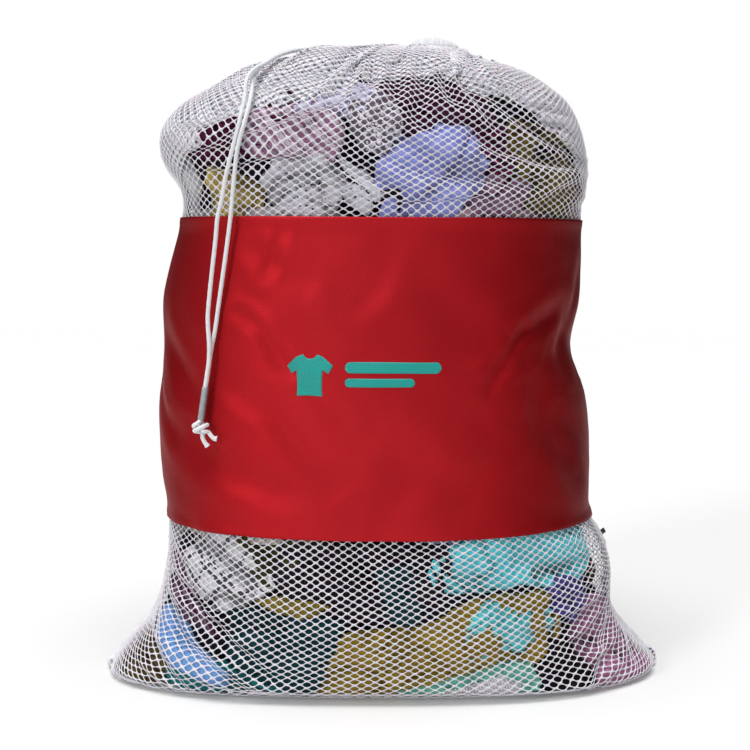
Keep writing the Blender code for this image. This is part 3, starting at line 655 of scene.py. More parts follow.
def sweep(points, shear, bend):
    """Moves neighbours in the cloth once towards their distances on the pattern."""
    slant = math.hypot(GRID_WIDE, GRID_TALL)
    every = slice(None)
    for first in (0, 1):
        pull(points[:, first:ROUND:2], points[:, first + 1:ROUND + 1:2], GRID_WIDE, 1.0)
        repeat(points, first, every)
    for a, b in row_pairs(points[:, :ROUND], 1):
        pull(a, b, GRID_TALL, 1.0)
    repeat(points, 0, every)
    for first in (0, 1):
        a = points[first:ROWS:2]
        b = points[first + 1:ROWS + 1:2]
        soft = shear[first:ROWS:2]
        pull(a[:, :ROUND], b[:, 1:ROUND + 1], slant, soft)
        repeat(points, 1, slice(first + 1, ROWS + 1, 2))
        pull(a[:, 1:ROUND + 1], b[:, :ROUND], slant, soft)
        repeat(points, 1, slice(first, ROWS, 2))
    for first in range(4):
        a = points[:, first:ROUND:4]
        b = points[:, first + 2:ROUND + 2:4]
        push_apart(a, b, 2 * GRID_WIDE, bend)
        if first > 1:
            points[:, first - 2] = points[:, ROUND + first - 2]
        repeat(points, 0, every)
    for first, (a, b) in enumerate(row_pairs(points[:, :ROUND], 2)):
        push_apart(a, b, 2 * GRID_TALL, bend[first::4][:len(a)])
    repeat(points, 0, every)


def hold_in_room(cloth, base, limits):
    """Moves the cloth into its room over the outline, and holds back what slides along it."""
    right = np.roll(base, -1, axis=1) - np.roll(base, 1, axis=1)
    up = np.gradient(base, axis=0)
    column, row = np.meshgrid(np.arange(ROUND), np.arange(ROWS + 1))
    drift = cloth - base
    shift_u = 2 * (drift * right).sum(axis=2) / np.maximum((right ** 2).sum(axis=2), 1e-8)
    shift_v = (drift * up).sum(axis=2) / np.maximum((up ** 2).sum(axis=2), 1e-8)
    shift_u = np.clip(shift_u, -5, 5)
    shift_v = np.clip(shift_v, -5, 5)
    near = read_grid(limits, (column + shift_u) * GRID_WIDE, (row + shift_v) * GRID_TALL)
    out = ((cloth - near[..., :3]) * near[..., 3:6]).sum(axis=2)
    held = np.minimum(np.maximum(out, near[..., 6]), near[..., 7])
    cloth += (held - out)[..., None] * near[..., 3:6]
    edges = np.minimum(np.abs(row - ZONE_ROWS), np.abs(row - 2 * ZONE_ROWS))
    hold = GRIP + EDGE_GRIP * np.exp(-(edges / EDGE_ROWS) ** 2)
    climb = (shift_v * GRID_TALL * hold)[..., None]
    cloth -= up / np.linalg.norm(up, axis=2, keepdims=True) * climb
    cloth[..., 2] = np.maximum(cloth[..., 2], YARN_THICK)


def drape(base, normal, low, high, start):
    """Relaxes the cloth between the washing below it and the room above it."""
    shear = np.full((ROWS + 1, 1, 1), NET_SHEAR, np.float32)
    bend = np.full((ROWS + 1, 1, 1), NET_BEND, np.float32)
    shear[ZONE_ROWS:2 * ZONE_ROWS + 1] = NYLON_SHEAR
    bend[ZONE_ROWS:2 * ZONE_ROWS + 1] = NYLON_BEND
    # The cloth is a hose; its first two columns are repeated at the end of the array.
    points = np.concatenate([start, start[:, :2]], axis=1).astype(np.float32)
    before = points.copy()
    limits = np.concatenate([base, normal, low[..., None], high[..., None]], axis=2)
    mirror = (-np.arange(ROUND)) % ROUND
    for _ in range(DRAPE_STEPS):
        move = (points - before) * DAMPING
        before[:] = points
        points += move
        points[..., 2] -= CLOTH_WEIGHT
        for _ in range(DRAPE_SWEEPS):
            sweep(points, shear, bend)
        cloth = points[:, :ROUND]
        hold_in_room(cloth, base, limits)
        cloth[0] = (cloth[0] + cloth[0, mirror]) / 2
        cloth[-1] = base[-1]
        points[:, ROUND:] = points[:, :2]
    return points[:, :ROUND].astype(float)


def repeat(points, back, rows):
    """Copies what moved in the repeated column back to the first, and the first two out."""
    if back:
        points[rows, 0] = points[rows, ROUND]
    points[:, ROUND:] = points[:, :2]


def room(base, normal):
    """How far in and out the cloth may lie at every grid point, and the points' places."""
    u, v = np.meshgrid(np.arange(ROUND) * FLAT_WIDE / ACROSS, np.arange(ROWS + 1) * FLAT_TALL / ROWS)
    low = washing_offset(u, v) + YARN_THICK
    high = LOOSE * (1 - SNUG * np.exp(-(seam_distance(u) / 0.07) ** 2))
    crest = ease((v - CREST_LOW) / 0.10)
    front = 1 - ease((u - FLAT_WIDE + 0.05) / 0.05) * (u < 2 * FLAT_WIDE - 0.02)
    high = high * (1 - crest) + (PLEAT_ROOM - (PLEAT_ROOM - CREST_ROOM) * front) * crest
    low = np.maximum(low, CREST_SINK * crest + EMPTY * (1 - crest))
    shoulder = window(u - 0.42, 0.06, u - 0.64, 0.06) * ease((v - 0.66) / 0.06)
    high = high - SHOULDER_DROP * shoulder
    band = window(v - FLAT_ZONE + 0.02, 0.04, v - 2 * FLAT_ZONE + 0.02, 0.04)
    high = high * (1 - band) + np.minimum(high, low + BAND_ROOM) * band
    for spot, wide, tall, power, most, least, drop, share in BULGES:
        bulge = hump(u, v, spot, wide, tall, power)
        high = high + most * bulge
        low = np.maximum(low, least * bulge - drop * (bulge < share))
    cords = np.concatenate([even_points(LEFT_STRAND, 0.006), even_points(RIGHT_STRAND, 0.006)])
    high = np.minimum(high, cord_reach(base, cords) - CORD_CLEAR)
    sleeve = np.linspace(0, SLEEVE_LONG, 8)[:, None] * np.array(SLEEVE_UP) + SLEEVE_LOW
    high = np.minimum(high, cord_reach(base, sleeve) - SLEEVE_DEEP / 2 - SLEEVE_CLEAR)
    high = np.minimum(high, cord_reach(base, [np.array(KNOT_MIDDLE)]) - KNOT_CLEAR)
    under = normal[..., 2] < -0.6
    high = np.where(under, -YARN_THICK, high)
    low = np.minimum(low, high - 0.0005)
    return low, high, u, v


# Folds of the band: from, to, half width, depth.
BAND_FOLDS = (
    ((0.168, 0.520), (0.222, 0.470), 0.007, 0.0026),
    ((0.176, 0.452), (0.272, 0.352), 0.014, 0.0042),
    ((0.196, 0.486), (0.280, 0.420), 0.008, 0.0020),
    ((0.090, 0.402), (0.252, 0.334), 0.015, 0.0040),
    ((0.414, 0.450), (0.452, 0.498), 0.009, 0.0040),
    ((0.446, 0.494), (0.520, 0.522), 0.011, 0.0045),
    ((0.400, 0.410), (0.430, 0.468), 0.014, 0.0030),
    ((0.455, 0.446), (0.530, 0.350), 0.016, 0.0045),
    ((0.304, 0.316), (0.346, 0.392), 0.014, 0.0038),
    ((0.500, 0.420), (0.560, 0.370), 0.009, 0.0030),
    ((0.284, 0.530), (0.330, 0.600), 0.016, 0.0032),
    ((0.352, 0.560), (0.420, 0.470), 0.020, 0.0032),
    ((0.180, 0.585), (0.238, 0.540), 0.010, 0.0022),
    ((0.212, 0.600), (0.196, 0.560), 0.008, 0.0018),
    ((0.050, 0.500), (0.110, 0.450), 0.012, 0.0030),
    ((0.030, 0.450), (0.080, 0.400), 0.010, 0.0026),
    ((0.560, 0.560), (0.520, 0.470), 0.012, 0.0030),
    ((0.380, 0.330), (0.430, 0.400), 0.012, 0.0024),
    ((0.700, 0.560), (0.800, 0.400), 0.016, 0.0040),
    ((0.840, 0.340), (0.900, 0.470), 0.016, 0.0036),
    ((0.930, 0.590), (1.010, 0.470), 0.014, 0.0036),
    ((1.050, 0.340), (1.130, 0.450), 0.014, 0.0036),
    ((0.770, 0.600), (0.860, 0.520), 0.012, 0.0028),
)


def line_distance(u, v, start, stop):
    """How far places are from a stretch of line, and how far along it they are, 0 to 1."""
    du, dv = stop[0] - start[0], stop[1] - start[1]
    size = math.hypot(du, dv)
    along = ((u - start[0]) * du + (v - start[1]) * dv) / size ** 2
    beside = ((u - start[0]) * dv - (v - start[1]) * du) / size
    past = np.maximum(np.abs(along - 0.5) - 0.5, 0) * size
    return np.hypot(beside, past), along


def band_relief(u, v):
    """How far the band's folds go in, as a height over its smooth shape."""
    sway_u = u + 0.008 * noise(u / 0.06, v / 0.05, 521)
    sway_v = v + 0.008 * noise(u / 0.06, v / 0.05, 523)
    total = 0.0012 * layered(u / 0.055, v / 0.075, 527, 2)
    for start, stop, wide, deep in BAND_FOLDS:
        away, along = line_distance(sway_u, sway_v, start, stop)
        fade = 0.35 + 0.65 * np.sin(math.pi * np.clip(along, 0, 1))
        total = total - deep * np.exp(-(away / wide) ** 2) * fade
        total = total + 0.4 * deep * np.exp(-((away - 1.9 * wide) / (0.9 * wide)) ** 2)
    return total


def draped_cloth(base, normal):
    """The bag's cloth at rest, as a grid of points over the pattern."""
    low, high, u, v = room(base, normal)
    ripple = 0.0025 * layered(u / 0.030, v / 0.020, 5, 2)
    sway = 2.0 * noise(u / 0.06, v / 0.2, 8)
    pleats = PLEAT_DEEP * ease((v - CREST_LOW) / 0.14) * np.sin(2 * math.pi * u / PLEAT_WIDE + sway)
    start = base + normal * np.clip(ripple + pleats, low, high)[..., None]
    cloth = drape(base, normal, low, high, start)
    band = window(v - FLAT_ZONE + 0.03, 0.05, v - 2 * FLAT_ZONE - 0.005, 0.03)
    cloth = smoothed(cloth, base, u, v, band)
    inside = window(v - FLAT_ZONE, 0.03, v - 2 * FLAT_ZONE + 0.03, 0.03)
    relief = np.clip(band_relief(u, v), -0.007, 0.003) * (0.25 + 0.75 * inside) * band
    relief = np.minimum(relief, np.maximum(high, 0) + 0.002)
    relief = np.where(relief > 0, relief * (1 - np.exp(-(seam_distance(u) / 0.05) ** 2)), relief)
    cloth = cloth + grid_normals(cloth) * relief[..., None]
    cloth[..., 2] = np.maximum(cloth[..., 2], YARN_THICK)
    return cloth


def smoothed(cloth, base, u, v, band):
    """The cloth without the small pleats of its band, and calm along the two side seams."""
    broad = evened(cloth, 3.2)
    little = evened(cloth, 0.9)
    cloth = little + (broad - little) * band[..., None]
    corner = np.exp(-(seam_distance(u) / 0.085) ** 4)
    corner = corner * (1 - ease((v - 0.82) / 0.06)) * ease((v - 0.05) / 0.03)
    shift = cloth - base
    calm = evened(raised(shift, 3.5), 2.0)
    return cloth + (calm - shift) * (corner * (1 - 0.7 * band))[..., None]


def bell(width):
    """Steps to neighbours and their shares in an average over them."""
    reach = math.ceil(3 * width)
    steps = np.arange(-reach, reach + 1)
    shares = np.exp(-steps ** 2 / (2 * width ** 2))
    return zip(steps.tolist(), shares / shares.sum())


def raised(grid, width):
    """The grid averaged up and down over a few rows."""
    rows = np.arange(len(grid))
    return sum(share * grid[np.clip(rows + step, 0, len(grid) - 1)] for step, share in bell(width))


def evened(grid, width):
    """The grid averaged round the bag over a few columns, which takes out its small pleats."""
    return sum(share * np.roll(grid, step, axis=1) for step, share in bell(width))


# ---------------------------------------------------------------------------------------
# Materials.

class Look:
    """A Principled material and short ways to add nodes to it."""

    def __init__(self, name, **settings):
        self.material = bpy.data.materials.new(name)
        self.material.use_nodes = True
        self.tree = self.material.node_tree
        self.shader = self.tree.nodes["Principled BSDF"]
        for socket, value in settings.items():
            self.shader.inputs[socket.replace("_", " ")].default_value = value

    def add(self, kind, settings=None, **links):
        """A node with plain settings, and inputs given as values or as other outputs."""
        node = self.tree.nodes.new("ShaderNode" + kind)
        for key, value in (settings or {}).items():
            setattr(node, key, value)
        for socket, value in links.items():
            self.feed(node, socket, value)
        return node

    def feed(self, node, socket, value):
        """Sets or links an input by its name, or by its number after an i."""
        numbered = socket[0] == "i" and socket[1:].isdigit()
        target = node.inputs[int(socket[1:]) if numbered else socket.replace("_", " ")]
        if isinstance(value, bpy.types.NodeSocket):
            self.tree.links.new(value, target)
        else:
            target.default_value = value

    def uv(self, scale=(1.0, 1.0, 1.0), turn=0.0):
        """The piece's own cloth coordinates, in metres times a scale."""
        place = self.add("UVMap", {"uv_map": "cloth"})
        mapped = self.add("Mapping", Vector=place.outputs["UV"], Scale=scale, Rotation=(0, 0, turn))
        return mapped.outputs["Vector"]

    def solid(self):
        """Coordinates in the object's own space, in metres."""
        return self.add("TexCoord").outputs["Object"]

    def noise(self, where, scale, detail=3.0, rough=0.55):
        node = self.add("TexNoise", Vector=where, Scale=scale, Detail=detail, Roughness=rough)
        return node.outputs["Fac"]

    def wave(self, where, scale, direction="X", warp=0.0, detail=0.0):
        """Straight waves across a direction."""
        settings = {"wave_type": "BANDS", "wave_profile": "SIN", "bands_direction": direction}
        node = self.add("TexWave", settings, Vector=where, Scale=scale, Distortion=warp, Detail=detail)
        return node.outputs["Fac"]

    def math(self, how, a, b=0.0, c=0.0):
        node = self.add("Math", {"operation": how}, i0=a, i1=b, i2=c)
        return node.outputs[0]

    def times(self, a, b):
        return self.math("MULTIPLY", a, b)

    def above(self, value, limit):
        return self.math("GREATER_THAN", value, limit)

    def spots(self, where, scale, settings=None):
        """How far places are from the nearest of many scattered points, or from a cell's edge."""
        return self.add("TexVoronoi", settings, Vector=where, Scale=scale).outputs["Distance"]

    def ramp(self, value, stops):
        """A colour ramp from (position, colour) pairs."""
        node = self.add("ValToRGB", Fac=value)
        bar = node.color_ramp.elements
        while len(bar) < len(stops):
            bar.new(0.5)
        for mark, (spot, colour) in zip(bar, stops):
            mark.position = spot
            mark.color = (*colour, 1.0)
        return node.outputs["Color"]

    def mix(self, share, a, b, how="MIX"):
        """One colour turning into another by a share, or blended in another way."""
        node = self.add("Mix", {"data_type": "RGBA", "blend_type": how, "clamp_factor": True})
        self.feed(node, "Factor", share)
        for socket, value in (("i6", a), ("i7", b)):
            if isinstance(value, tuple) and len(value) == 3:
                value = (*value, 1.0)
            self.feed(node, socket, value)
        return node.outputs[2]

    def bump(self, height, depth, strength=1.0, normal=None):
        """A relief of some depth in metres, on top of another if given."""
        node = self.add("Bump", Height=height, Distance=depth, Strength=strength)
        if normal is not None:
            self.feed(node, "Normal", normal)
        return node.outputs["Normal"]

    def colour(self, value):
        self.feed(self.shader, "Base_Color", value)

    def rough(self, value):
        self.feed(self.shader, "Roughness", value)

    def normal(self, value):
        self.feed(self.shader, "Normal", value)


def weave_height(look, where, pitch):
    """Over and under threads of a plain weave."""
    turns = 1 / pitch
    warp = look.wave(where, turns / 2, "X", warp=0.3, detail=1)
    weft = look.wave(where, turns / 2, "Y", warp=0.3, detail=1)
    return look.math("MAXIMUM", warp, weft)


# A print takes the look, places on the cloth, and the plain, second and dark colours.  It gives
# the colour, the height of its relief (None for that of the plain weave) and the relief's depth.
# Some prints leave one of these unused.

def plaid_print(look, where, base, second, dark):
    """Thin crossed lines and a belt of dashed checks, at a slant."""
    slanted = look.uv(turn=math.radians(38))
    up = look.add("SeparateXYZ", Vector=slanted).outputs["Y"]
    belt = look.math("LESS_THAN", look.math("ABSOLUTE", look.math("ADD", up, 0.006)), 0.010)
    checks = look.above(look.wave(slanted, 24.0, "X", warp=0.5), 0.34)
    dashes = look.above(look.wave(slanted, 36.0, "Y", warp=0.5), 0.40)
    belt = look.times(belt, look.times(checks, dashes))
    lines = [look.above(look.wave(slanted, 13.0, way, warp=0.4), 0.955) for way in "XY"]
    thin = look.math("MAXIMUM", *lines)
    return look.mix(look.math("MAXIMUM", belt, thin), base, second), None, WEAVE_DEEP


def striped_print(look, where, base, second, dark):
    """Slanted stripes."""
    lines = look.above(look.wave(where, 46.0, "DIAGONAL", warp=0.6), 0.55)
    return look.mix(lines, base, second), None, WEAVE_DEEP


def lace_print(look, where, base, second, dark):
    """Holes between threads, in blooms."""
    edge = look.spots(where, 160.0, {"feature": "DISTANCE_TO_EDGE"})
    blooms = look.above(look.noise(where, 55.0, 2.0), 0.47)
    gaps = look.times(look.above(edge, 0.28), blooms)
    return look.mix(gaps, base, second), look.math("SUBTRACT", 1.0, edge), 0.0006


def terry_print(look, where, base, second, dark):
    """Standing loops, with painted shade between them."""
    loops = look.spots(where, 520.0)
    # Painted shade: the colour darkens between the loops, where the relief is lowest.
    return look.mix(look.times(loops, 0.5), base, dark), look.math("SUBTRACT", 1.0, loops), 0.0009


def crochet_print(look, where, base, second, dark):
    """Thick knots with gaps between them."""
    knots = look.spots(where, 190.0)
    return look.mix(look.above(knots, 0.42), base, second), look.math("SUBTRACT", 1.0, knots), 0.0015


def jersey_print(look, where, base, second, dark):
    """Sports mesh with small round holes."""
    gap = look.times(look.wave(where, 330.0, "X", warp=0.6), look.wave(where, 450.0, "Y", warp=0.6))
    return look.mix(look.above(gap, 0.42), base, second), look.math("SUBTRACT", 1.0, gap), 0.0006


def denim_print(look, where, base, second, dark):
    """Fine slanted twill."""
    twill = look.wave(where, 420.0, "DIAGONAL")
    return look.mix(look.times(twill, 0.35), base, second), None, WEAVE_DEEP


def ribbed_print(look, where, base, second, dark):
    """Raised knitted ribs."""
    ribs = look.wave(where, 130.0, "X")
    return look.mix(ribs, second, base), ribs, 0.0008


WEAVE_DEEP = 0.0002
PRINTS = {"plaid": plaid_print, "stripes": striped_print, "lace": lace_print, "terry": terry_print,
          "crochet": crochet_print, "mesh": jersey_print, "denim": denim_print, "ribs": ribbed_print}


def garment_look(name, colour, second=None, pattern="plain", pitch=0.0012):
    """Cloth of a garment: weave, painted shade in its creases and on its inner sheet, and its own print."""
    bright = max(colour)
    look = Look(name, Roughness=0.9, Sheen_Weight=0.25 * bright, Sheen_Roughness=0.5,
                Specular_IOR_Level=0.04 + 0.2 * bright)
    where = look.uv()
    dark = tuple(0.62 * c for c in colour)
    light = tuple(min(1.0, 1.18 * c + 0.015) for c in colour)
    patches = look.noise(where, 28.0, 4.0, 0.6)
    base = look.ramp(patches, [(0.32, dark), (0.52, colour), (0.72, light)])
    height = weave_height(look, where, pitch)
    depth = WEAVE_DEEP
    if pattern in PRINTS:
        base, relief, depth = PRINTS[pattern](look, where, base, second or light, dark)
        height = height if relief is None else relief
    fine = look.noise(where, 900.0, 2.0)
    base = look.mix(look.times(fine, 0.18), base, dark)
    # Painted shade: the crease attribute darkens the colour in deep folds and on the inner sheet.
    crease = look.add("Attribute", {"attribute_name": "crease"}).outputs["Fac"]
    shadow = look.ramp(crease, [(0.25, (0, 0, 0)), (0.95, (0.8, 0.8, 0.8))])
    look.colour(look.mix(shadow, base, tuple(0.22 * c for c in colour)))
    look.rough(look.math("MULTIPLY_ADD", patches, -0.15, 0.95))
    soft = look.bump(look.noise(where, 130.0, 4.0), 0.0012, 0.5)
    look.normal(look.bump(height, depth, 0.6, soft))
    return look.material


def net_look():
    """White polyester yarn, twisted filaments with a soft lustre."""
    look = Look("net_yarn", Roughness=0.55, Sheen_Weight=0.35, Sheen_Roughness=0.4, Subsurface_Weight=0.15,
                Subsurface_Scale=0.001)
    where = look.uv()
    tone = look.noise(where, 60.0, 3.0)
    whites = [(0.3, (0.74, 0.71, 0.78)), (0.6, (0.80, 0.78, 0.83)), (0.8, (0.86, 0.84, 0.88))]
    look.colour(look.ramp(tone, whites))
    strands = look.wave(where, 1700.0, "DIAGONAL", warp=2.0, detail=1.0)
    look.rough(look.math("MULTIPLY_ADD", strands, 0.2, 0.42))
    look.normal(look.bump(strands, 0.00012, 0.5))
    return look.material


def nylon_look():
    """Red coated nylon: fine plain weave, slubs, a satin glow, and painted shade towards both side seams,
    where the cloth turns away, and over the front's right part.
    """
    look = Look("red_nylon_weave", Roughness=0.42, Metallic=0.34, Sheen_Weight=0.05, Sheen_Roughness=0.30,
                Sheen_Tint=(1.0, 0.45, 0.42, 1.0), Specular_IOR_Level=0.16,
                Specular_Tint=(1.0, 0.20, 0.24, 1.0))
    where = look.uv()
    broad = look.noise(where, 7.0, 2.0, 0.5)
    base = look.ramp(broad, [(0.3, (0.400, 0.0100, 0.0155)), (0.55, (0.500, 0.0150, 0.0210)),
                             (0.8, (0.570, 0.0190, 0.0260))])
    grid = weave_height(look, where, 0.0034)
    threads = look.times(look.noise(look.uv((900.0, 60.0, 1.0)), 1.0, 1.0), 0.5)
    cross = look.times(look.noise(look.uv((60.0, 900.0, 1.0)), 1.0, 1.0), 0.5)
    slub = look.math("ADD", threads, cross)
    base = look.mix(look.times(slub, 0.45), base, (0.300, 0.0080, 0.0120))
    base = look.mix(look.times(grid, 0.22), base, (0.540, 0.0230, 0.0310))
    # Painted shade: the red is darkened towards both side seams, where the cloth turns away from the light.
    across = look.add("SeparateXYZ", Vector=where).outputs["X"]
    inward = look.math("PINGPONG", across, FLAT_WIDE / 2)
    sides = look.ramp(look.times(inward, 2 / FLAT_WIDE),
                      [(0.0, (0.32, 0.18, 0.18)), (0.23, (0.44, 0.26, 0.26)), (0.62, (0.94, 0.80, 0.80)),
                       (0.8, (1, 1, 1))])
    # Painted shade over the front's right part, as if that side got less light.
    right = look.ramp(look.times(across, 0.5 / FLAT_WIDE),
                      [(0.27, (1, 1, 1)), (0.38, (0.66, 0.58, 0.58)), (0.50, (0.62, 0.52, 0.52)),
                       (0.56, (1, 1, 1))])
    base = look.mix(1.0, base, sides, "MULTIPLY")
    look.colour(look.mix(1.0, base, right, "MULTIPLY"))
    look.rough(look.math("MULTIPLY_ADD", slub, 0.20, 0.38))
    creases = look.bump(look.noise(where, 45.0, 3.0, 0.5), 0.0005, 0.35)
    look.normal(look.bump(grid, 0.00022, 0.5, creases))
    return look.material


def tape_look(name, colour):
    """Woven tape in one colour, a little uneven."""
    look = Look(name, Roughness=0.7, Sheen_Weight=0.3)
    where = look.uv()
    dark = tuple(0.8 * c for c in colour)
    tone = look.noise(where, 70.0, 3.0)
    look.colour(look.ramp(tone, [(0.3, dark), (0.65, colour)]))
    look.rough(look.math("MULTIPLY_ADD", tone, 0.2, 0.55))
    look.normal(look.bump(weave_height(look, where, 0.0009), 0.0002, 0.7))
    return look.material


def cord_look():
    """White braided cord: two families of strands winding both ways, with painted shade in the grooves
    between them.
    """
    look = Look("white_braid", Roughness=0.6, Sheen_Weight=0.3, Subsurface_Weight=0.1, Subsurface_Scale=0.001)
    where = look.solid()
    mirrored = look.add("Mapping", Vector=where, Scale=(-1.0, 1.0, 1.0)).outputs["Vector"]
    one, two = [look.wave(way, 330.0, "DIAGONAL", warp=0.4, detail=1) for way in (where, mirrored)]
    braid = look.times(one, two)
    # Painted shade: the white darkens where the braid's relief is low, in the grooves between strands.
    whites = [(0.0, (0.70, 0.72, 0.75)), (0.35, (0.87, 0.88, 0.90)), (1.0, (0.93, 0.94, 0.95))]
    look.colour(look.ramp(braid, whites))
    look.rough(look.math("MULTIPLY_ADD", braid, -0.15, 0.7))
    look.normal(look.bump(braid, 0.0004, 0.6))
    return look.material


def sleeve_look():
    """Soft clear vinyl with a bluish grey tint, scuffed."""
    look = Look("clear_vinyl", Roughness=0.28, Transmission_Weight=0.55, IOR=1.5)
    tone = look.noise(look.solid(), 300.0, 3.0)
    look.colour(look.ramp(tone, [(0.3, (0.50, 0.56, 0.58)), (0.7, (0.66, 0.71, 0.74))]))
    look.rough(look.math("MULTIPLY_ADD", tone, 0.25, 0.2))
    look.normal(look.bump(tone, 0.0002, 0.3))
    return look.material


# Colour, second colour, pattern and pitch of the weave.
GARMENT_LOOKS = {
    "mustard_blanket": ((0.34, 0.23, 0.022), None, "plain", 0.0022),
    "black_cardigan": ((0.012, 0.008, 0.012), (0.03, 0.02, 0.03), "ribs"),
    "teal_towel": ((0.015, 0.22, 0.22), None, "terry"),
    # charcoal_fleece and black_hoodie: near-black base layers, partly dark garments and partly painted shade
    # in the gaps between the washing.
    "charcoal_fleece": ((0.014, 0.012, 0.016),),
    "black_hoodie": ((0.014, 0.009, 0.014),),
    "petrol_sleeve": ((0.010, 0.045, 0.060),),
    "olive_sock": ((0.24, 0.18, 0.02), None, "ribs"),
    "plum_vest": ((0.10, 0.02, 0.06), (0.30, 0.18, 0.30), "stripes"),
    "mint_top": ((0.16, 0.52, 0.42),),
    "berry_top": ((0.15, 0.012, 0.075), (0.02, 0.006, 0.015), "stripes"),
    "lace_collar": ((0.70, 0.70, 0.76), (0.10, 0.07, 0.10), "lace"),
    "lilac_knit": ((0.42, 0.42, 0.74), (0.76, 0.74, 0.92), "crochet"),
    "white_jersey": ((0.90, 0.88, 0.94), (0.62, 0.58, 0.68), "mesh"),
    "white_shorts": ((0.88, 0.87, 0.94), (0.58, 0.55, 0.64), "mesh"),
    "olive_trousers": ((0.055, 0.050, 0.018), None, "denim"),
    "plaid_shirt": ((0.80, 0.80, 0.83), (0.02, 0.02, 0.03), "plaid"),
    "sky_jersey": ((0.17, 0.37, 0.74), None, "plain", 0.0010),
    "mauve_robe": ((0.51, 0.21, 0.39), (0.62, 0.42, 0.55), "terry"),
    "purple_scarf": ((0.09, 0.07, 0.34), None, "plain", 0.0018),
    "aqua_towel": ((0.14, 0.80, 0.90), None, "terry"),
    "aqua_flannel": ((0.15, 0.82, 0.88), None, "terry"),
    "black_leggings": ((0.012, 0.009, 0.013), None, "plain", 0.0010),
    "teal_shirt": ((0.008, 0.045, 0.055), None, "plain", 0.0010),
    "brown_tee": ((0.11, 0.075, 0.025), None, "plain", 0.0010),
    "grey_joggers": ((0.95, 0.93, 0.97), (0.50, 0.47, 0.55), "ribs"),
    "burgundy_shirt": ((0.10, 0.012, 0.045), (0.04, 0.005, 0.02), "stripes"),
    "plum_skirt": ((0.045, 0.008, 0.03), None, "plain", 0.0014),
    "khaki_chinos": ((0.15, 0.105, 0.018), None, "denim"),
    "black_vest": ((0.015, 0.008, 0.015), None, "plain", 0.0010),
    "yellow_blouse": ((0.58, 0.44, 0.10), None, "plain", 0.0010),
    "lace_top": ((0.66, 0.65, 0.70), (0.10, 0.07, 0.10), "lace"),
    "mauve_pinstripe": ((0.36, 0.17, 0.29), (0.70, 0.62, 0.70), "stripes"),
    "crochet_throw": ((0.78, 0.77, 0.81), (0.12, 0.08, 0.12), "crochet"),
    "mauve_scarf": ((0.30, 0.15, 0.26), None, "plain", 0.0014),
    "lavender_tee": ((0.34, 0.38, 0.86), None, "plain", 0.0010),
    "white_pillow": ((0.90, 0.89, 0.95), (0.62, 0.58, 0.68), "mesh"),
    "white_vest": ((0.72, 0.72, 0.75), None, "plain", 0.0010),
    "bath_sheet_left": ((0.58, 0.54, 0.50), None, "terry"),
    "bath_sheet_right": ((0.20, 0.28, 0.42), None, "terry"),
    "duvet_cover": ((0.62, 0.60, 0.64),),
    "pillow_case": ((0.50, 0.30, 0.34), None, "stripes"),
    "navy_jeans": ((0.035, 0.055, 0.13), (0.10, 0.13, 0.22), "denim"),
    "brown_sweater": ((0.14, 0.08, 0.045), None, "ribs"),
    "grey_sheet": ((0.48, 0.48, 0.52),),
    "linen_shirt": ((0.60, 0.56, 0.48), (0.30, 0.34, 0.44), "stripes"),
    "pink_pyjamas": ((0.52, 0.24, 0.34), (0.75, 0.60, 0.65), "plaid"),
    "denim_shirt": ((0.08, 0.13, 0.24), (0.20, 0.26, 0.36), "denim"),
    "rust_jacket": ((0.28, 0.09, 0.04), None, "ribs"),
}


# ---------------------------------------------------------------------------------------
# Mesh making.

def add_piece(name, points, faces, look, places=None, body="bag", smooth_shade=True):
    """A mesh piece that rides on a body; places are its cloth coordinates by point."""
    mesh = bpy.data.meshes.new(name)
    points = np.asarray(points, float)
    faces = np.asarray(faces)
    mesh.vertices.add(len(points))
    mesh.vertices.foreach_set("co", points.astype(np.float32).ravel())
    size = faces.shape[1]
    mesh.loops.add(faces.size)
    mesh.loops.foreach_set("vertex_index", faces.ravel().astype(np.int32))
    mesh.polygons.add(len(faces))
    mesh.polygons.foreach_set("loop_start", (np.arange(len(faces)) * size).astype(np.int32))
    mesh.update(calc_edges=True)
    mesh.validate()
    if places is not None:
        layer = mesh.uv_layers.new(name="cloth")
        corners = np.zeros(len(mesh.loops), np.int32)
        mesh.loops.foreach_get("vertex_index", corners)
        layer.data.foreach_set("uv", np.asarray(places, np.float32)[corners].ravel())
    if smooth_shade:
        mesh.shade_smooth()
    mesh.materials.append(look)
    piece = bpy.data.objects.new(name, mesh)
    bpy.context.scene.collection.objects.link(piece)
    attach(piece, body)
    return piece


def grid_quads(rows, columns, first=0):
    """Faces of a grid of points, numbered from a first one."""
    r, c = np.meshgrid(np.arange(rows - 1), np.arange(columns - 1), indexing="ij")
    a = (first + r * columns + c).ravel()
    return np.stack([a, a + 1, a + columns + 1, a + columns], axis=1)


def hose_quads(rings, sides):
    """Numbers of the points in rings of a hose, of the next point round, and the faces between."""
    a = np.arange(rings * sides).reshape(rings, sides)
    b = np.roll(a, -1, axis=1)
    return a, b, np.stack([a[:-1], b[:-1], b[1:], a[1:]], axis=2).reshape(-1, 4)


def flat_places(u, v):
    """Two grids of numbers as one list of places."""
    return np.stack([u, v], axis=2).reshape(-1, 2)


def rim_loop(rows, columns):
    """Indices round the edge of a grid, against the clock from its first corner."""
    rim = list(range(columns))
    rim += [r * columns + columns - 1 for r in range(1, rows)]
    rim += [(rows - 1) * columns + c for c in range(columns - 2, -1, -1)]
    rim += [r * columns for r in range(rows - 2, 0, -1)]
    return np.array(rim)


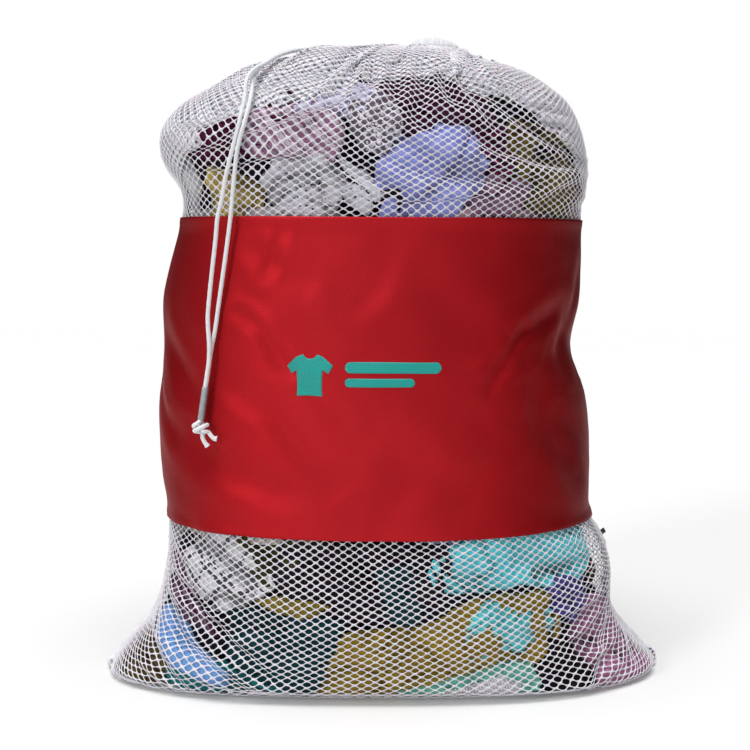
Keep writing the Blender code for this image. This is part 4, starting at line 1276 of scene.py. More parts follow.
def closed_cloth(outside, inside):
    """Points and faces of a thin closed sheet from its two grids."""
    rows, columns, _ = outside.shape
    count = rows * columns
    points = np.concatenate([outside.reshape(-1, 3), inside.reshape(-1, 3)])
    front = grid_quads(rows, columns)
    back = grid_quads(rows, columns, count)[:, ::-1]
    rim = rim_loop(rows, columns)
    after = np.roll(rim, -1)
    edge = np.stack([after, rim, rim + count, after + count], axis=1)
    return points, np.concatenate([front, back, edge])


def add_sheet(name, outside, inside, look, places, inner_places=None):
    """A piece from the two grids of a thin closed sheet."""
    points, faces = closed_cloth(outside, inside)
    both = np.concatenate([places, places if inner_places is None else inner_places])
    return add_piece(name, points, faces, look, both)


def on_cloth(cloth, normals, u, v, lift=0.0):
    """Points on the draped cloth at places (u, v), lifted off it along its normal."""
    spots = read_smooth(cloth, u, v)
    out = read_smooth(normals, u, v)
    out = out / np.linalg.norm(out, axis=-1, keepdims=True)
    spots = spots + out * np.asarray(lift)[..., None]
    spots[..., 2] = np.maximum(spots[..., 2], 0.0002)
    return spots


# ---------------------------------------------------------------------------------------
# The pieces.

NET_WIDE = 0.0113             # from hole to hole across
NET_TALL = 0.0070             # from hole to hole up
HOLE_WIDE = 0.0037            # half a hole
HOLE_TALL = 0.00258
HOLE_ROUND_U = 0.62           # how full a hole is between its tips
HOLE_ROUND_V = 0.68
FOLD_HOLE = 0.24              # how open the inner layer of doubled net is, next to the outer
FOLD_SCALE = 1.22
FOLD_SINK = 0.0013            # how far it lies under the outer
KNOT_THICK = 0.00075
STRAND_THICK = 0.00055
NET_SKEW = 0.0035             # how far the net's rows wander
NET_LAP = 0.004               # how far a net runs in under the band
SIDES = (("front", 0.0, FLAT_WIDE), ("back", FLAT_WIDE, 2 * FLAT_WIDE))
NET_ZONES = (("lower", 0.0035, FLAT_ZONE + NET_LAP), ("upper", 2 * FLAT_ZONE - NET_LAP, FLAT_TALL - 0.004))


def eight_round(across, up):
    """Eight points round a cell: its four tips, and a point between each two of them."""
    return (np.array([1, across, 0, -across, -1, -across, 0, across]),
            np.array([0, up, 1, up, 0, -up, -1, -up]))


def net_cells(low, high, first_u, last_u, scale, where):
    """Middles of a net's cells, and how far apart they are across and up."""
    tall = NET_TALL * scale
    rows = int((high - low) / (tall / 2)) + 1
    columns = int((last_u - first_u) / (NET_WIDE * scale))
    pitch = (last_u - first_u) / columns
    j, i = np.meshgrid(np.arange(rows), np.arange(columns), indexing="ij")
    keep = (i < columns - 1) | (j % 2 == 0)
    middle_u = first_u + (i + 0.5 + 0.5 * (j % 2)) * pitch
    middle_v = low + j * tall / 2
    if where:
        keep &= where(middle_u, middle_v)
    return middle_u[keep], middle_v[keep], pitch, tall


def wandered(u, v, seed):
    """Where the net's places end up: rows wander, yarns vary, and folds draw them in."""
    wander_u = u + NET_SKEW * noise(u / 0.11, v / 0.10, seed + 1)
    wander_v = v + NET_SKEW * noise(u / 0.12, v / 0.11, seed + 3)
    wander_u = wander_u + 0.0005 * noise(u / 0.009, v / 0.006, seed + 2)
    wander_v = wander_v + 0.0004 * noise(u / 0.008, v / 0.007, seed + 4)
    return drawn_in(wander_u, wander_v)


def net_faces(outer, count):
    """Faces round every hole, in front and in the rear, and along the net's own edges."""
    rim = 2 * count + np.arange(outer.size).reshape(-1, 8)
    after = np.roll(outer, -1, axis=1)
    rim_after = np.roll(rim, -1, axis=1)
    front = np.stack([outer, after, rim_after, rim], axis=2).reshape(-1, 4)
    rear = np.stack([after + count, outer + count, rim, rim_after], axis=2).reshape(-1, 4)
    one = (outer * (count + 1) + after).ravel()
    two = (after * (count + 1) + outer).ravel()
    alone = ~np.isin(one, two)
    start = outer.ravel()[alone]
    stop = after.ravel()[alone]
    edge = np.stack([stop, start, start + count, stop + count], axis=1)
    return np.concatenate([front, rear, edge])


def net_mesh(low, high, first_u, last_u, cloth, normals, seed, scale=1.0, hole=1.0, sink=0.0, where=None):
    """Points, faces, places and flat area of a knitted net between two heights of the pattern."""
    middle_u, middle_v, pitch, tall = net_cells(low, high, first_u, last_u, scale, where)
    cells = len(middle_u)
    grow = 1 + 0.05 * noise(middle_u / 0.02, middle_v / 0.013, seed)
    ring_u, ring_v = eight_round(0.5, 0.5)
    outer_u = middle_u[:, None] + ring_u * pitch / 2
    outer_v = middle_v[:, None] + ring_v * tall / 2
    hole_u, hole_v = eight_round(HOLE_ROUND_U, HOLE_ROUND_V)
    inner_u = middle_u[:, None] + hole_u * HOLE_WIDE * scale * hole * grow[:, None]
    inner_v = middle_v[:, None] + hole_v * HOLE_TALL * scale * hole * grow[:, None]
    # Neighbouring cells share the points between them, so every place gets one number.
    key_u = np.round(outer_u / (pitch / 8)).astype(np.int64)
    key = key_u * 100000 + np.round((outer_v - low) / (tall / 16)).astype(np.int64)
    _, index, back = np.unique(key.ravel(), return_index=True, return_inverse=True)
    knot = np.tile(np.array([1, 0, 1, 0, 1, 0, 1, 0]), cells)[index]
    rise = np.where(knot == 1, KNOT_THICK, STRAND_THICK) * (1 if sink == 0 else 0.4)
    outer_u = outer_u.ravel()[index]
    outer_v = outer_v.ravel()[index]
    u = np.concatenate([outer_u, outer_u, inner_u.ravel()])
    v = np.concatenate([outer_v, outer_v, inner_v.ravel()])
    lift = np.concatenate([rise, -rise, np.zeros(cells * 8)]) - sink
    wander_u, wander_v = wandered(u, v, seed)
    wander_u = np.clip(wander_u, first_u - 0.001, last_u + 0.001)
    wander_v = np.clip(wander_v, 0.0, FLAT_TALL)
    points = on_cloth(cloth, normals, wander_u, wander_v, lift)
    faces = net_faces(back.reshape(key.shape), len(index))
    hole_area = 2 * (HOLE_ROUND_V + HOLE_ROUND_U) * HOLE_WIDE * HOLE_TALL * (scale * hole) ** 2
    return points, faces, np.stack([u, v], axis=1), cells * (pitch * tall / 2 - hole_area)


# Above this line of the pattern the net lies double.
FOLD_LINE = ((0.0, 0.600), (0.060, 0.635), (0.100, 0.660), (0.118, 0.688), (0.150, 0.702), (0.190, 0.714),
             (0.243, 0.731), (0.290, 0.752), (0.330, 0.766), (0.390, 0.770), (0.450, 0.748), (0.500, 0.716),
             (0.545, 0.660), (0.570, 0.625), (0.610, 0.605), (0.800, 0.750), (1.050, 0.750), (1.220, 0.600))
# Lines that the net's yarn is drawn in to: from, to, half width.
NET_FOLDS = (
    ((0.104, 0.664), (0.200, 0.690), 0.012), ((0.200, 0.690), (0.300, 0.745), 0.014),
    ((0.090, 0.690), (0.190, 0.703), 0.009), ((0.120, 0.650), (0.220, 0.662), 0.009),
    ((0.050, 0.235), (0.110, 0.190), 0.010), ((0.110, 0.190), (0.240, 0.130), 0.014),
    ((0.060, 0.262), (0.120, 0.228), 0.009), ((0.120, 0.228), (0.200, 0.175), 0.010),
    ((0.040, 0.200), (0.090, 0.160), 0.010), ((0.090, 0.160), (0.160, 0.118), 0.012),
    ((0.566, 0.212), (0.512, 0.158), 0.012), ((0.512, 0.158), (0.452, 0.120), 0.013),
    ((0.584, 0.172), (0.540, 0.112), 0.011),
    ((0.330, 0.625), (0.400, 0.630), 0.007),
    ((0.700, 0.680), (0.820, 0.700), 0.012), ((1.000, 0.640), (1.100, 0.700), 0.012),
    ((0.680, 0.180), (0.780, 0.130), 0.012), ((1.080, 0.140), (1.160, 0.200), 0.012),
)


def drawn_in(u, v):
    """Where the places of the net move to beside its fold lines, where yarn crowds together."""
    move_u = 0 * u
    move_v = 0 * v
    sway = 0.005 * noise(u / 0.03, v / 0.03, 431)
    for start, stop, wide in NET_FOLDS:
        du, dv = stop[0] - start[0], stop[1] - start[1]
        size = math.hypot(du, dv)
        along = ((u - start[0]) * du + (v - start[1]) * dv) / size ** 2
        beside = ((u + sway - start[0]) * dv - (v - sway - start[1]) * du) / size
        fade = ease((along + 0.25) / 0.35) * ease((1.25 - along) / 0.35)
        pull_in = -0.72 * beside * np.exp(-(beside / wide) ** 2) * fade
        move_u = move_u + pull_in * dv / size
        move_v = move_v - pull_in * du / size
    return u + move_u, v + move_v


SEAM_FOLD = 0.010             # how wide the net lies double at the side seams
EAR_FOLD = 0.020              # and how much wider where the corners fold over


def doubled(u, v):
    """Whether the net lies double: gathered at the crest, or turned in at the seams."""
    ragged = 0.012 * layered(u / 0.022, v / 0.016, 411, 3)
    line = np.interp(u, *np.array(FOLD_LINE).T)
    crest = (v > line + ragged) & (v > 2 * FLAT_ZONE)
    ear = EAR_FOLD * np.exp(-((v - 0.115) / 0.060) ** 4)
    turned = seam_distance(u) < SEAM_FOLD + 0.4 * ragged + ear
    return crest | turned


def add_nets(cloth, normals, look):
    """Lower and upper net, front and back; each with the area of its yarn."""
    pieces = {}
    for side, first, last in SIDES:
        for zone, low, high in NET_ZONES:
            name = f"{side}_{zone}_net"
            seed = 60 + len(pieces) * 9
            made = net_mesh(low, high, first, last, cloth, normals, seed)
            inner = net_mesh(low, high, first + 0.002, last - 0.001, cloth, normals, seed + 5,
                             FOLD_SCALE, FOLD_HOLE, FOLD_SINK, doubled)
            points = np.concatenate([made[0], inner[0]])
            faces = np.concatenate([made[1], inner[1] + len(made[0])])
            piece = add_piece(name, points, faces, look, np.concatenate([made[2], inner[2]]))
            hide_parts(f"{side}_{zone}_mesh")
            pieces[name] = (piece, min(made[3] + inner[3], FLAT_WIDE * FLAT_ZONE))
    return pieces


def fine_places(low, high, first, last, step):
    """Places on the pattern a small step apart."""
    u = np.linspace(first, last, round((last - first) / step) + 1)
    v = np.linspace(low, high, round((high - low) / step) + 1)
    return np.meshgrid(u, v)


BAND_THICK = 0.0005
BAND_LIFT = YARN_THICK + 0.0006   # the band's inside, over the middle of the net


def add_bands(cloth, normals, look):
    """The woven band, front and back, its edges turned and lying over the net."""
    pieces = []
    for side, first, last in SIDES:
        u, v = fine_places(FLAT_ZONE, 2 * FLAT_ZONE, first, last, 0.0026)
        margin = np.minimum(v - FLAT_ZONE, 2 * FLAT_ZONE - v)
        turned = 0.0007 * (1 - ease((margin - 0.009) / 0.002))
        sewn = -0.0005 * np.exp(-((margin - 0.0075) / 0.0009) ** 2)
        lift = BAND_LIFT + turned + sewn
        outside = on_cloth(cloth, normals, u, v, lift + BAND_THICK)
        inside = on_cloth(cloth, normals, u, v, lift)
        piece = add_sheet(f"{side}_woven_band", outside, inside, look, flat_places(u, v))
        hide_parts(f"{side}_band")
        pieces.append(piece)
    return pieces


UNDER_NET = 0.0022            # the washing's top stays this far below the middle of the net
FINE_STEP = 0.0022            # size of the faces of garments in view
COARSE_STEP = 0.0045          # and of the others


def add_heap(heap, base, normal, look, step, tree):
    """One garment: crumpled top, rolled rim, sides going down between its neighbours."""
    across = max(12, round(heap.size[0] / step))
    tall = max(10, round(heap.size[1] / step))
    p, q = np.meshgrid(np.linspace(-1, 1, across), np.linspace(-1, 1, tall))
    share = np.maximum(np.abs(p), np.abs(q))
    angle = np.arctan2(q * heap.size[1], p * heap.size[0])
    rim = heap.rim_distance(angle)
    share = np.where(share > 0.999, 1.0, share)
    spread = 1 - (1 - share) ** 1.25
    x = spread * rim * np.cos(angle)
    y = spread * rim * np.sin(angle)
    u = heap.place[0] + x
    v = np.clip(heap.place[1] + y, 0.004, FLAT_TALL - 0.004)
    folds = heap.folds(x, y)
    top = heap.top(x, y, (1 - spread) * rim)
    spot = read_grid(base, u, v)
    out = read_grid(normal, u, v)
    out /= np.linalg.norm(out, axis=2, keepdims=True)
    outside = tucked(spot + out * top[..., None], tree)
    under = np.minimum(heap.crown - heap.deep, top - 0.003)
    inside = tucked(spot + out * under[..., None], tree)
    for grid in (outside, inside):
        grid[..., 2] = np.maximum(grid[..., 2], 0.004)
    places = flat_places(x, y)
    piece = add_sheet(heap.name + "_heap", outside, inside, look, places, places + 0.003)
    # Painted shade: fold depth, and full depth for the inside sheet, go to the 'crease' attribute that
    # darkens the cloth's colour.
    depth = np.clip(folds / max(heap.fold, 0.002), -0.5, 1.5).ravel()
    layer = piece.data.attributes.new("crease", "FLOAT", "POINT")
    layer.data.foreach_set("value", np.concatenate([depth, 0 * depth + 1.5]).astype(np.float32))
    return piece


def tucked(spots, tree):
    """Moves places that stand out through the draped cloth back under it."""
    flat = spots.reshape(-1, 3).copy()
    for k, place in enumerate(flat):
        near, way, _, _ = tree.find_nearest(Vector(place))
        if near is None:
            continue
        out = (Vector(place) - near).dot(way)
        if -0.05 < -out < UNDER_NET:
            flat[k] = near - way * UNDER_NET
    return flat.reshape(spots.shape)


def cloth_tree(cloth):
    """The draped cloth as a surface to look up the nearest place on."""
    faces = hose_quads(*cloth.shape[:2])[2]
    return BVHTree.FromPolygons(cloth.reshape(-1, 3).tolist(), faces.tolist())


SEAM_HALF = 0.0048            # half the width of a side seam
SEAM_HIGH = 0.0020


def add_seams(cloth, normals, white, red):
    """Turned side seams: a gathered ridge along both sides, white on the net, red on the band."""
    zones = (("lower", 0.006, FLAT_ZONE + 0.001, white, "seam_white"),
             ("band", FLAT_ZONE, 2 * FLAT_ZONE, red, "red_nylon"),
             ("upper", 2 * FLAT_ZONE - 0.001, 0.895, white, "seam_white"))
    for side, middle in (("left", 0.0), ("right", FLAT_WIDE)):
        for zone, low, high, look, slot in zones:
            u, v = fine_places(low, high, middle - SEAM_HALF, middle + SEAM_HALF, SEAM_HALF / 4)
            share = (u - middle) / SEAM_HALF
            ruffle = 0.0006 * layered(v / 0.011, middle * 9 + share * 0.5, 301, 2)
            ridge = SEAM_HIGH * np.clip(1 - share ** 2, 0, 1) ** 0.7 * (1 + 0.25 * noise(v / 0.006, 2.0, 305))
            ridge = ridge + ruffle * (1 - share ** 2)
            lift = 0.0024 + 0.6 * ridge if slot == "red_nylon" else 0.0008 + ridge
            outside = on_cloth(cloth, normals, u, v, lift)
            inside = on_cloth(cloth, normals, u, v, -0.0006 + 0 * lift)
            piece = add_sheet(f"{side}_seam_{zone}", outside, inside, look, flat_places(u, v))
            if zone == "lower":
                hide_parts(f"{side}_side_seam")


TAG_HEIGHT = 0.2640           # on the pattern
TAG_TALL = 0.0065
TAG_OUT = 0.0060              # how far it stands out from the seam


def add_tag(cloth, normals, look):
    """A small blank tag caught in the right side seam, just under the band."""
    along, out = np.meshgrid(np.linspace(-0.5, 0.5, 9), np.linspace(0, 1, 9), indexing="ij")
    v = TAG_HEIGHT + TAG_TALL * along + 0.0012 * out
    grids = []
    for side in (1, -1):
        u = FLAT_WIDE + side * 0.0009 * np.sqrt(1.04 - out ** 2) + 0.0006 * np.sin(3 * out)
        grids.append(on_cloth(cloth, normals, u, v, 0.0015 + TAG_OUT * out))
    piece = add_sheet("seam_tag", *grids, look, flat_places(along * 0.01, out * 0.01))
    face_out(piece)


def add_bottom_seam(cloth, look):
    """The flat seam that the bag stands on, from corner to corner."""
    u = np.linspace(0.008, FLAT_WIDE - 0.008, 240)
    spine = read_grid(cloth, u, 0 * u)
    share = np.linspace(-1, 1, 7)[:, None]
    under = spine[None] + np.zeros((7, 1, 1))
    under[..., 1] += share * (0.0045 + 0.0006 * noise(u / 0.01, 0, 77))
    over = under.copy()
    under[..., 2] = 0.0002
    over[..., 2] = 0.0004 + 0.0006 * (1 - share ** 2)
    places = flat_places(np.broadcast_to(u, (7, len(u))), 0.005 * share + 0 * u)
    piece = add_sheet("bottom_seam_tape", over[:, ::-1], under[:, ::-1], look, places)
    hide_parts("bottom_seam")


HEM_PLEATS = 34
HEM_THICK = 0.0060            # half the hem's thickness, and half its height
HEM_TALL = 0.0098


def add_hem(look):
    """The gathered hem: a hose of cloth crowded into pleats along the drawcord."""
    steps = 420
    sides = 22
    angle = np.linspace(MOUTH_LEFT + MOUTH_GAP, MOUTH_LEFT + 2 * math.pi - MOUTH_GAP, steps)[:, None]
    turn = np.linspace(0, 2 * math.pi, sides, endpoint=False)[None, :]
    run = (angle - MOUTH_LEFT) * HEM_PLEATS / (2 * math.pi)
    pleat = np.abs((run + 0.35 * noise(run * 0.8, 0.4 * np.sin(turn), 91)) % 1 - 0.5) * 2
    deep = 0.6 + 0.5 * noise(run * 0.5, 3.0, 93)
    crowd = (pleat - 0.5) * deep
    thick = HEM_THICK + 0.0009 * crowd
    tall = HEM_TALL + 0.0006 * crowd + 0.0010 * noise(run * 0.7, turn * 0.5, 95)
    radius = MOUTH_RADIUS + 0.0012 * noise(run * 0.3, 1.0, 97) + thick * np.cos(turn)
    rise = HEM_RISE + tall * np.sin(turn)
    points = mouth_point(angle + 0 * radius, radius, rise).reshape(-1, 3)
    a, _, faces = hose_quads(steps, sides)
    caps = []
    for row, flip in ((a[0], 1), (a[-1], -1)):
        for k in range(sides // 2 - 1):
            quad = [row[k], row[k + 1], row[sides - 2 - k], row[sides - 1 - k]]
            caps.append(quad[::flip])
    places = flat_places(angle * 0.2 + 0 * turn, turn * 0.006 + 0 * angle)
    piece = add_piece("gathered_hem", points, np.concatenate([faces, np.array(caps)]), look, places)
    face_out(piece)
    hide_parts("hem_casing")


def face_out(piece):
    """Turns the faces of a closed piece outwards."""
    shell = bmesh.new()
    shell.from_mesh(piece.data)
    bmesh.ops.recalc_face_normals(shell, faces=shell.faces)
    shell.to_mesh(piece.data)
    shell.free()


def tube_grid(points, radius, sides):
    """Rings round a line of points, without twist."""
    points = np.asarray(points, float)
    along = np.gradient(points, axis=0)
    along /= np.linalg.norm(along, axis=1, keepdims=True)
    first = np.cross(along[0], (0.3, -0.9, 0.2))
    first /= np.linalg.norm(first)
    sideways = [first]
    for k in range(1, len(points)):
        step = sideways[-1] - along[k] * (sideways[-1] @ along[k])
        sideways.append(step / np.linalg.norm(step))
    sideways = np.array(sideways)
    other = np.cross(along, sideways)
    turn = np.linspace(0, 2 * math.pi, sides, endpoint=False)
    radius = np.broadcast_to(radius, (len(points), sides))
    ring = (np.cos(turn)[None, :, None] * sideways[:, None] + np.sin(turn)[None, :, None] * other[:, None])
    return points[:, None] + ring * radius[..., None]


BRAID_PITCH = 0.0085          # the length of one turn of a carrier round the cord


def add_cord(name, route, look, frayed=False, step=0.0009):
    """A braided cord along a route, with the relief of its carriers."""
    path = even_points(route, step)
    sides = 20
    count = len(path)
    run = (np.linspace(0, 1, count) * (count - 1) * step)[:, None]
    turn = np.linspace(0, 2 * math.pi, sides, endpoint=False)[None]
    wind = run / BRAID_PITCH * 2 * math.pi
    relief = np.maximum(np.cos(5 * turn + wind), np.cos(5 * turn - wind))
    radius = CORD_RADIUS * (0.965 + 0.045 * relief)
    radius = radius * (1 + 0.02 * noise(run / 0.004, 1.0, 11))
    if frayed:
        end = ease((run - run[-1] + 0.004) / 0.004)
        radius = radius * (1 + end * (0.25 * np.cos(6 * turn) + 0.12))
    rings = tube_grid(path, radius, sides)
    points = np.concatenate([rings.reshape(-1, 3), [path[0], path[-1]]])
    a, _, faces = hose_quads(count, sides)
    places = flat_places(run + 0 * turn, turn * CORD_RADIUS + 0 * wind)
    places = np.concatenate([places, [[run[0, 0], 0], [run[-1, 0], 0]]])
    tip = count * sides
    lids = []
    for k in range(0, sides, 2):
        three = [k, (k + 1) % sides, (k + 2) % sides]
        lids.append([tip, *a[0, three]])
        lids.append([tip + 1, *a[-1, three[::-1]]])
    piece = add_piece(name, points, np.concatenate([faces, np.array(lids)]), look, places)
    face_out(piece)
    return piece, path


def add_sleeve(look):
    """The soft sleeve: an oval hose with rolled lips, over both strands."""
    rings = 30
    sides = 40
    turn = (np.arange(sides) + 0.5) * 2 * math.pi / sides
    straight = np.sign(np.sin(turn)) * (SLEEVE_DEEP - SLEEVE_WIDE) / 2
    axis = np.array(SLEEVE_UP) / np.linalg.norm(SLEEVE_UP)
    back = np.array((0.0, 1.0, 0.0))
    right = np.cross(back, axis)
    height = np.linspace(0, SLEEVE_LONG, rings)
    lip = 0.5 * SLEEVE_WALL * (1 - ease(np.minimum(height, SLEEVE_LONG - height) / 0.0008))
    waist = 0.00008 * np.sin(height / SLEEVE_LONG * 9)
    layers = []
    for sign, inset in ((1, 0), (-1, SLEEVE_WALL)):
        radius = SLEEVE_WIDE / 2 - inset - sign * lip + waist
        x = radius[:, None] * np.cos(turn)
        y = radius[:, None] * np.sin(turn) + straight
        spot = np.array(SLEEVE_LOW) + axis * height[:, None, None] + x[..., None] * right
        layers.append((spot + y[..., None] * back).reshape(-1, 3))
    count = rings * sides
    a, b, wall = hose_quads(rings, sides)
    inner = wall[:, ::-1] + count
    lips = [np.stack([a[r], b[r], b[r] + count, a[r] + count], axis=1) for r in (0, -1)]
    places = flat_places(turn[None] * 0.003 + 0 * height[:, None], height[:, None] + 0 * turn)
    piece = add_piece("vinyl_sleeve", np.concatenate(layers), np.concatenate([wall, inner, *lips]), look,
                      np.concatenate([places, places]), "sleeve")
    face_out(piece)
    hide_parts("cord_sleeve")
    return piece


KNOT_LEFT = (
    (-0.1785, -0.1268, 0.2757), (-0.1803, -0.1288, 0.2737), (-0.1836, -0.1300, 0.2716),
    (-0.1851, -0.1262, 0.2699), (-0.1831, -0.1222, 0.2689), (-0.1780, -0.1210, 0.2692),
    (-0.1735, -0.1230, 0.2705), (-0.1722, -0.1275, 0.2712), (-0.1755, -0.1314, 0.2700),
    (-0.1800, -0.1318, 0.2680), (-0.1838, -0.1296, 0.2661), (-0.1836, -0.1255, 0.2649),
    (-0.1800, -0.1242, 0.2641), (-0.1775, -0.1262, 0.2636), (-0.1764, -0.1280, 0.2624),
)
KNOT_RIGHT = (
    (-0.1785, -0.1222, 0.2757), (-0.1776, -0.1235, 0.2727), (-0.1771, -0.1260, 0.2703),
    (-0.1772, -0.1286, 0.2676), (-0.1750, -0.1305, 0.2657), (-0.1724, -0.1292, 0.2648),
    (-0.1707, -0.1275, 0.2642),
)


def add_cords(look, clear):
    """Both free strands with their knot, tails and sleeve."""
    sleeve = add_sleeve(clear)
    for side, route in (("left", LEFT_STRAND), ("right", RIGHT_STRAND)):
        piece, path = add_cord(f"{side}_cord_strand", route, look)
        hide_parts(f"{side}_strand")
    knots = {}
    for side, route in (("left", KNOT_LEFT), ("right", KNOT_RIGHT)):
        knots[side], _ = add_cord(f"knot_turn_{side}", route, look, step=0.0006)
    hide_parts("end_knot")
    tails = {}
    for side, route in (("left", LEFT_TAIL), ("right", RIGHT_TAIL)):
        tails[side], _ = add_cord(f"{side}_cord_tail", route, look, frayed=True, step=0.0005)
        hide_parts(f"{side}_tail")


# The printed shirt's outline, as shares of its half width, and its place on the pattern.
SHIRT = ((-0.30, 0.82), (-0.20, 0.70), (-0.07, 0.64), (0.07, 0.64), (0.20, 0.70), (0.30, 0.82),
         (0.55, 0.74), (1.00, 0.36), (0.80, 0.02), (0.54, 0.18), (0.55, -0.90), (-0.55, -0.90),
         (-0.54, 0.18), (-0.80, 0.02), (-1.00, 0.36), (-0.55, 0.74))
PRINT_PLACE = (0.2420, 0.4640)
PRINT_HALF = 0.0225
# The two printed bars: middle, half length, half height.
BARS = ((0.3225, 0.4705, 0.0465, 0.0052), (0.3095, 0.4565, 0.0335, 0.0040))


def rounded_bar(u, v, wide, tall):
    """The outline of a bar with round ends."""
    turns = np.linspace(-math.pi / 2, math.pi / 2, 9)
    right = [(u + wide - tall + tall * math.cos(t), v + tall * math.sin(t)) for t in turns]
    left = [(u - wide + tall - tall * math.cos(t), v - tall * math.sin(t)) for t in turns]
    return right + left


def finely_cut(outline):
    """A flat outline cut up finely, so that it can follow the cloth's folds."""
    flat = bmesh.new()
    flat.faces.new([flat.verts.new((u, v, 0)) for u, v in outline])
    bmesh.ops.triangulate(flat, faces=flat.faces)
    places = np.array(outline)
    for axis, normal in ((0, (1, 0, 0)), (1, (0, 1, 0))):
        for cut in np.arange(places[:, axis].min() + 0.0013, places[:, axis].max(), 0.0026):
            spot = (cut, 0, 0) if axis == 0 else (0, cut, 0)
            every = flat.verts[:] + flat.edges[:] + flat.faces[:]
            bmesh.ops.bisect_plane(flat, geom=every, plane_co=spot, plane_no=normal)
    bmesh.ops.triangulate(flat, faces=flat.faces)
    return flat


def add_print(cloth, normals, look):
    """A plain printed motif on the band: a shirt shape and two bars, in thin teal ink."""
    shirt = [(PRINT_PLACE[0] + PRINT_HALF * x, PRINT_PLACE[1] + PRINT_HALF * y) for x, y in SHIRT]
    names = ("print_shirt", "print_bar_long", "print_bar_short")
    for name, outline in zip(names, (shirt, *[rounded_bar(*bar) for bar in BARS])):
        flat = finely_cut(outline)
        raised_part = bmesh.ops.extrude_face_region(flat, geom=flat.faces[:])
        top = {v for v in raised_part["geom"] if isinstance(v, bmesh.types.BMVert)}
        spots = np.array([v.co[:2] for v in flat.verts])
        band = BAND_LIFT + BAND_THICK
        lift = np.array([band + 0.00035 if v in top else band - 0.0002 for v in flat.verts])
        points = on_cloth(cloth, normals, spots[:, 0], spots[:, 1], lift)
        flat.verts.index_update()
        faces = np.array([[v.index for v in f.verts] for f in flat.faces if len(f.verts) == 3])
        quads = [[v.index for v in f.verts] for f in flat.faces if len(f.verts) == 4]
        flat.free()
        if quads:
            quads = np.array(quads)
            faces = np.concatenate([faces, quads[:, [0, 1, 2]], quads[:, [0, 2, 3]]])
        piece = add_piece(name, points, faces, look, spots, smooth_shade=False)
        face_out(piece)


def ink_look():
    """Teal printing ink, thin enough to show the weave."""
    look = Look("teal_ink", Roughness=0.5)
    where = look.uv()
    grain = look.noise(where, 700.0, 3.0)
    look.colour(look.ramp(grain, [(0.3, (0.0, 0.27, 0.235)), (0.6, (0.0, 0.345, 0.300))]))
    look.rough(look.math("MULTIPLY_ADD", grain, 0.2, 0.4))
    look.normal(look.bump(weave_height(look, where, 0.0014), 0.0002, 0.5))
    return look.material


# ---------------------------------------------------------------------------------------
# Camera, floor and light.

def add_camera():
    """The photo's point of view: in front of the bag, looking slightly down."""
    data = bpy.data.cameras.new("camera")
    data.lens = 66.24
    data.sensor_width = 36.0
    data.clip_start = 0.05
    camera = bpy.data.objects.new("camera", data)
    camera.location = (-0.010, -1.45, 0.44)
    camera.rotation_euler = (math.radians(90 - 5.2), 0, 0)
    bpy.context.scene.collection.objects.link(camera)
    bpy.context.scene.camera = camera


def add_floor():
    """A wide pale floor with a faint glow of its own, so that only the bag's shadow shows."""
    mesh = bpy.data.meshes.new("floor")
    shell = bmesh.new()
    bmesh.ops.create_grid(shell, x_segments=1, y_segments=1, size=6)
    shell.to_mesh(mesh)
    shell.free()
    look = Look("pale_floor", Base_Color=(0.68, 0.68, 0.68, 1), Roughness=0.8, Emission_Color=(1, 1, 1, 1),
                Emission_Strength=0.14)
    mesh.materials.append(look.material)
    floor = bpy.data.objects.new("floor", mesh)
    bpy.context.scene.collection.objects.link(floor)


def add_sun(name, turn, height, power, soft):
    """A distant soft light; turn is from straight ahead of the bag towards its right side."""
    data = bpy.data.lights.new(name, "SUN")
    data.energy = power
    data.angle = math.radians(soft)
    light = bpy.data.objects.new(name, data)
    turn, height = math.radians(turn), math.radians(height)
    way = Vector((math.sin(turn) * math.cos(height), -math.cos(turn) * math.cos(height), math.sin(height)))
    light.rotation_euler = way.to_track_quat("Z", "Y").to_euler()
    bpy.context.scene.collection.objects.link(light)


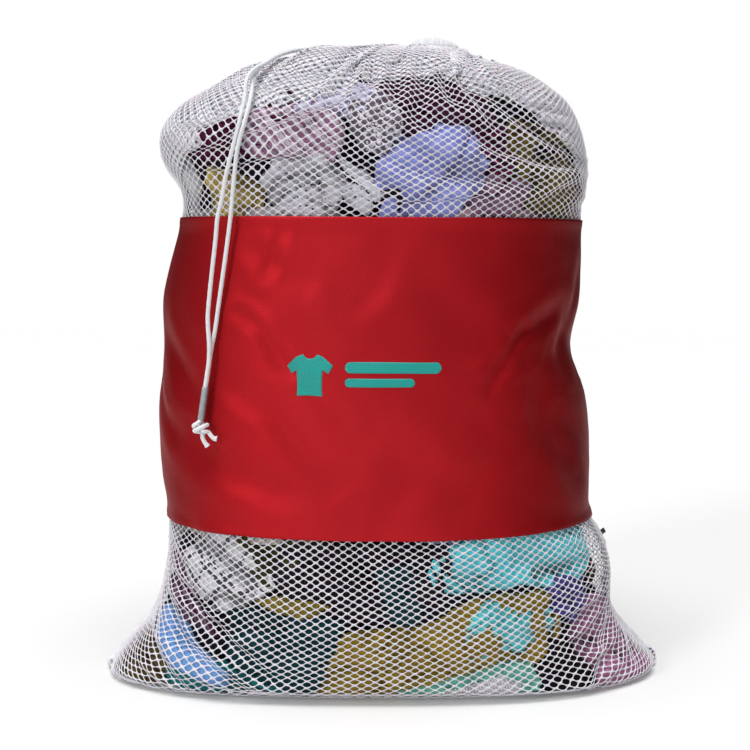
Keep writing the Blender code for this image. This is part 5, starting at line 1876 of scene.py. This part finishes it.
def add_light_and_world():
    """A dim white room for the light, seen as a white backdrop, and two soft distant lights."""
    world = bpy.data.worlds.new("studio")
    world.use_nodes = True
    tree = world.node_tree
    room_light = tree.nodes["Background"]
    backdrop = tree.nodes.new("ShaderNodeBackground")
    for node, strength in ((room_light, 0.08), (backdrop, 1.0)):
        node.inputs["Color"].default_value = (1, 1, 1, 1)
        node.inputs["Strength"].default_value = strength
    path = tree.nodes.new("ShaderNodeLightPath")
    mix = tree.nodes.new("ShaderNodeMixShader")
    tree.links.new(path.outputs["Is Camera Ray"], mix.inputs["Fac"])
    tree.links.new(room_light.outputs["Background"], mix.inputs[1])
    tree.links.new(backdrop.outputs["Background"], mix.inputs[2])
    tree.links.new(mix.outputs["Shader"], tree.nodes["World Output"].inputs["Surface"])
    bpy.context.scene.world = world
    add_sun("key", -42, 24, 1.00, 14)
    add_sun("top", -10, 80, 3.55, 50)
    bpy.context.scene.view_settings.view_transform = "Standard"


# ---------------------------------------------------------------------------------------
# The whole scene.

add_camera()
add_floor()
add_light_and_world()
cord_white = cord_look()
add_cords(cord_white, sleeve_look())
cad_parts["drawcord_loop"].data.materials.clear()
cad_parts["drawcord_loop"].data.materials.append(cord_white)

base = laid_pattern()
outward = grid_normals(base)
cloth = draped_cloth(base, outward)
cloth_out = grid_normals(cloth)
tree = cloth_tree(cloth)
for heap in HEAPS:
    look = garment_look(heap.name + "_cloth", *GARMENT_LOOKS[heap.name])
    in_view = heap.place[0] < FLAT_WIDE and heap.deep < 0.04
    piece = add_heap(heap, base, outward, look, FINE_STEP if in_view else COARSE_STEP, tree)
    if heap.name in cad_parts:
        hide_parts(heap.name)

yarn = net_look()
nylon = nylon_look()
nets = add_nets(cloth, cloth_out, yarn)
bands = add_bands(cloth, cloth_out, nylon)
add_seams(cloth, cloth_out, tape_look("seam_tape", (0.86, 0.855, 0.89)), nylon)
add_bottom_seam(cloth, tape_look("bottom_tape", (0.84, 0.83, 0.87)))
add_tag(cloth, cloth_out, tape_look("tag_cloth", (0.030, 0.030, 0.036)))
add_hem(tape_look("hem_cloth", (0.86, 0.87, 0.91)))
add_print(cloth, cloth_out, ink_look())
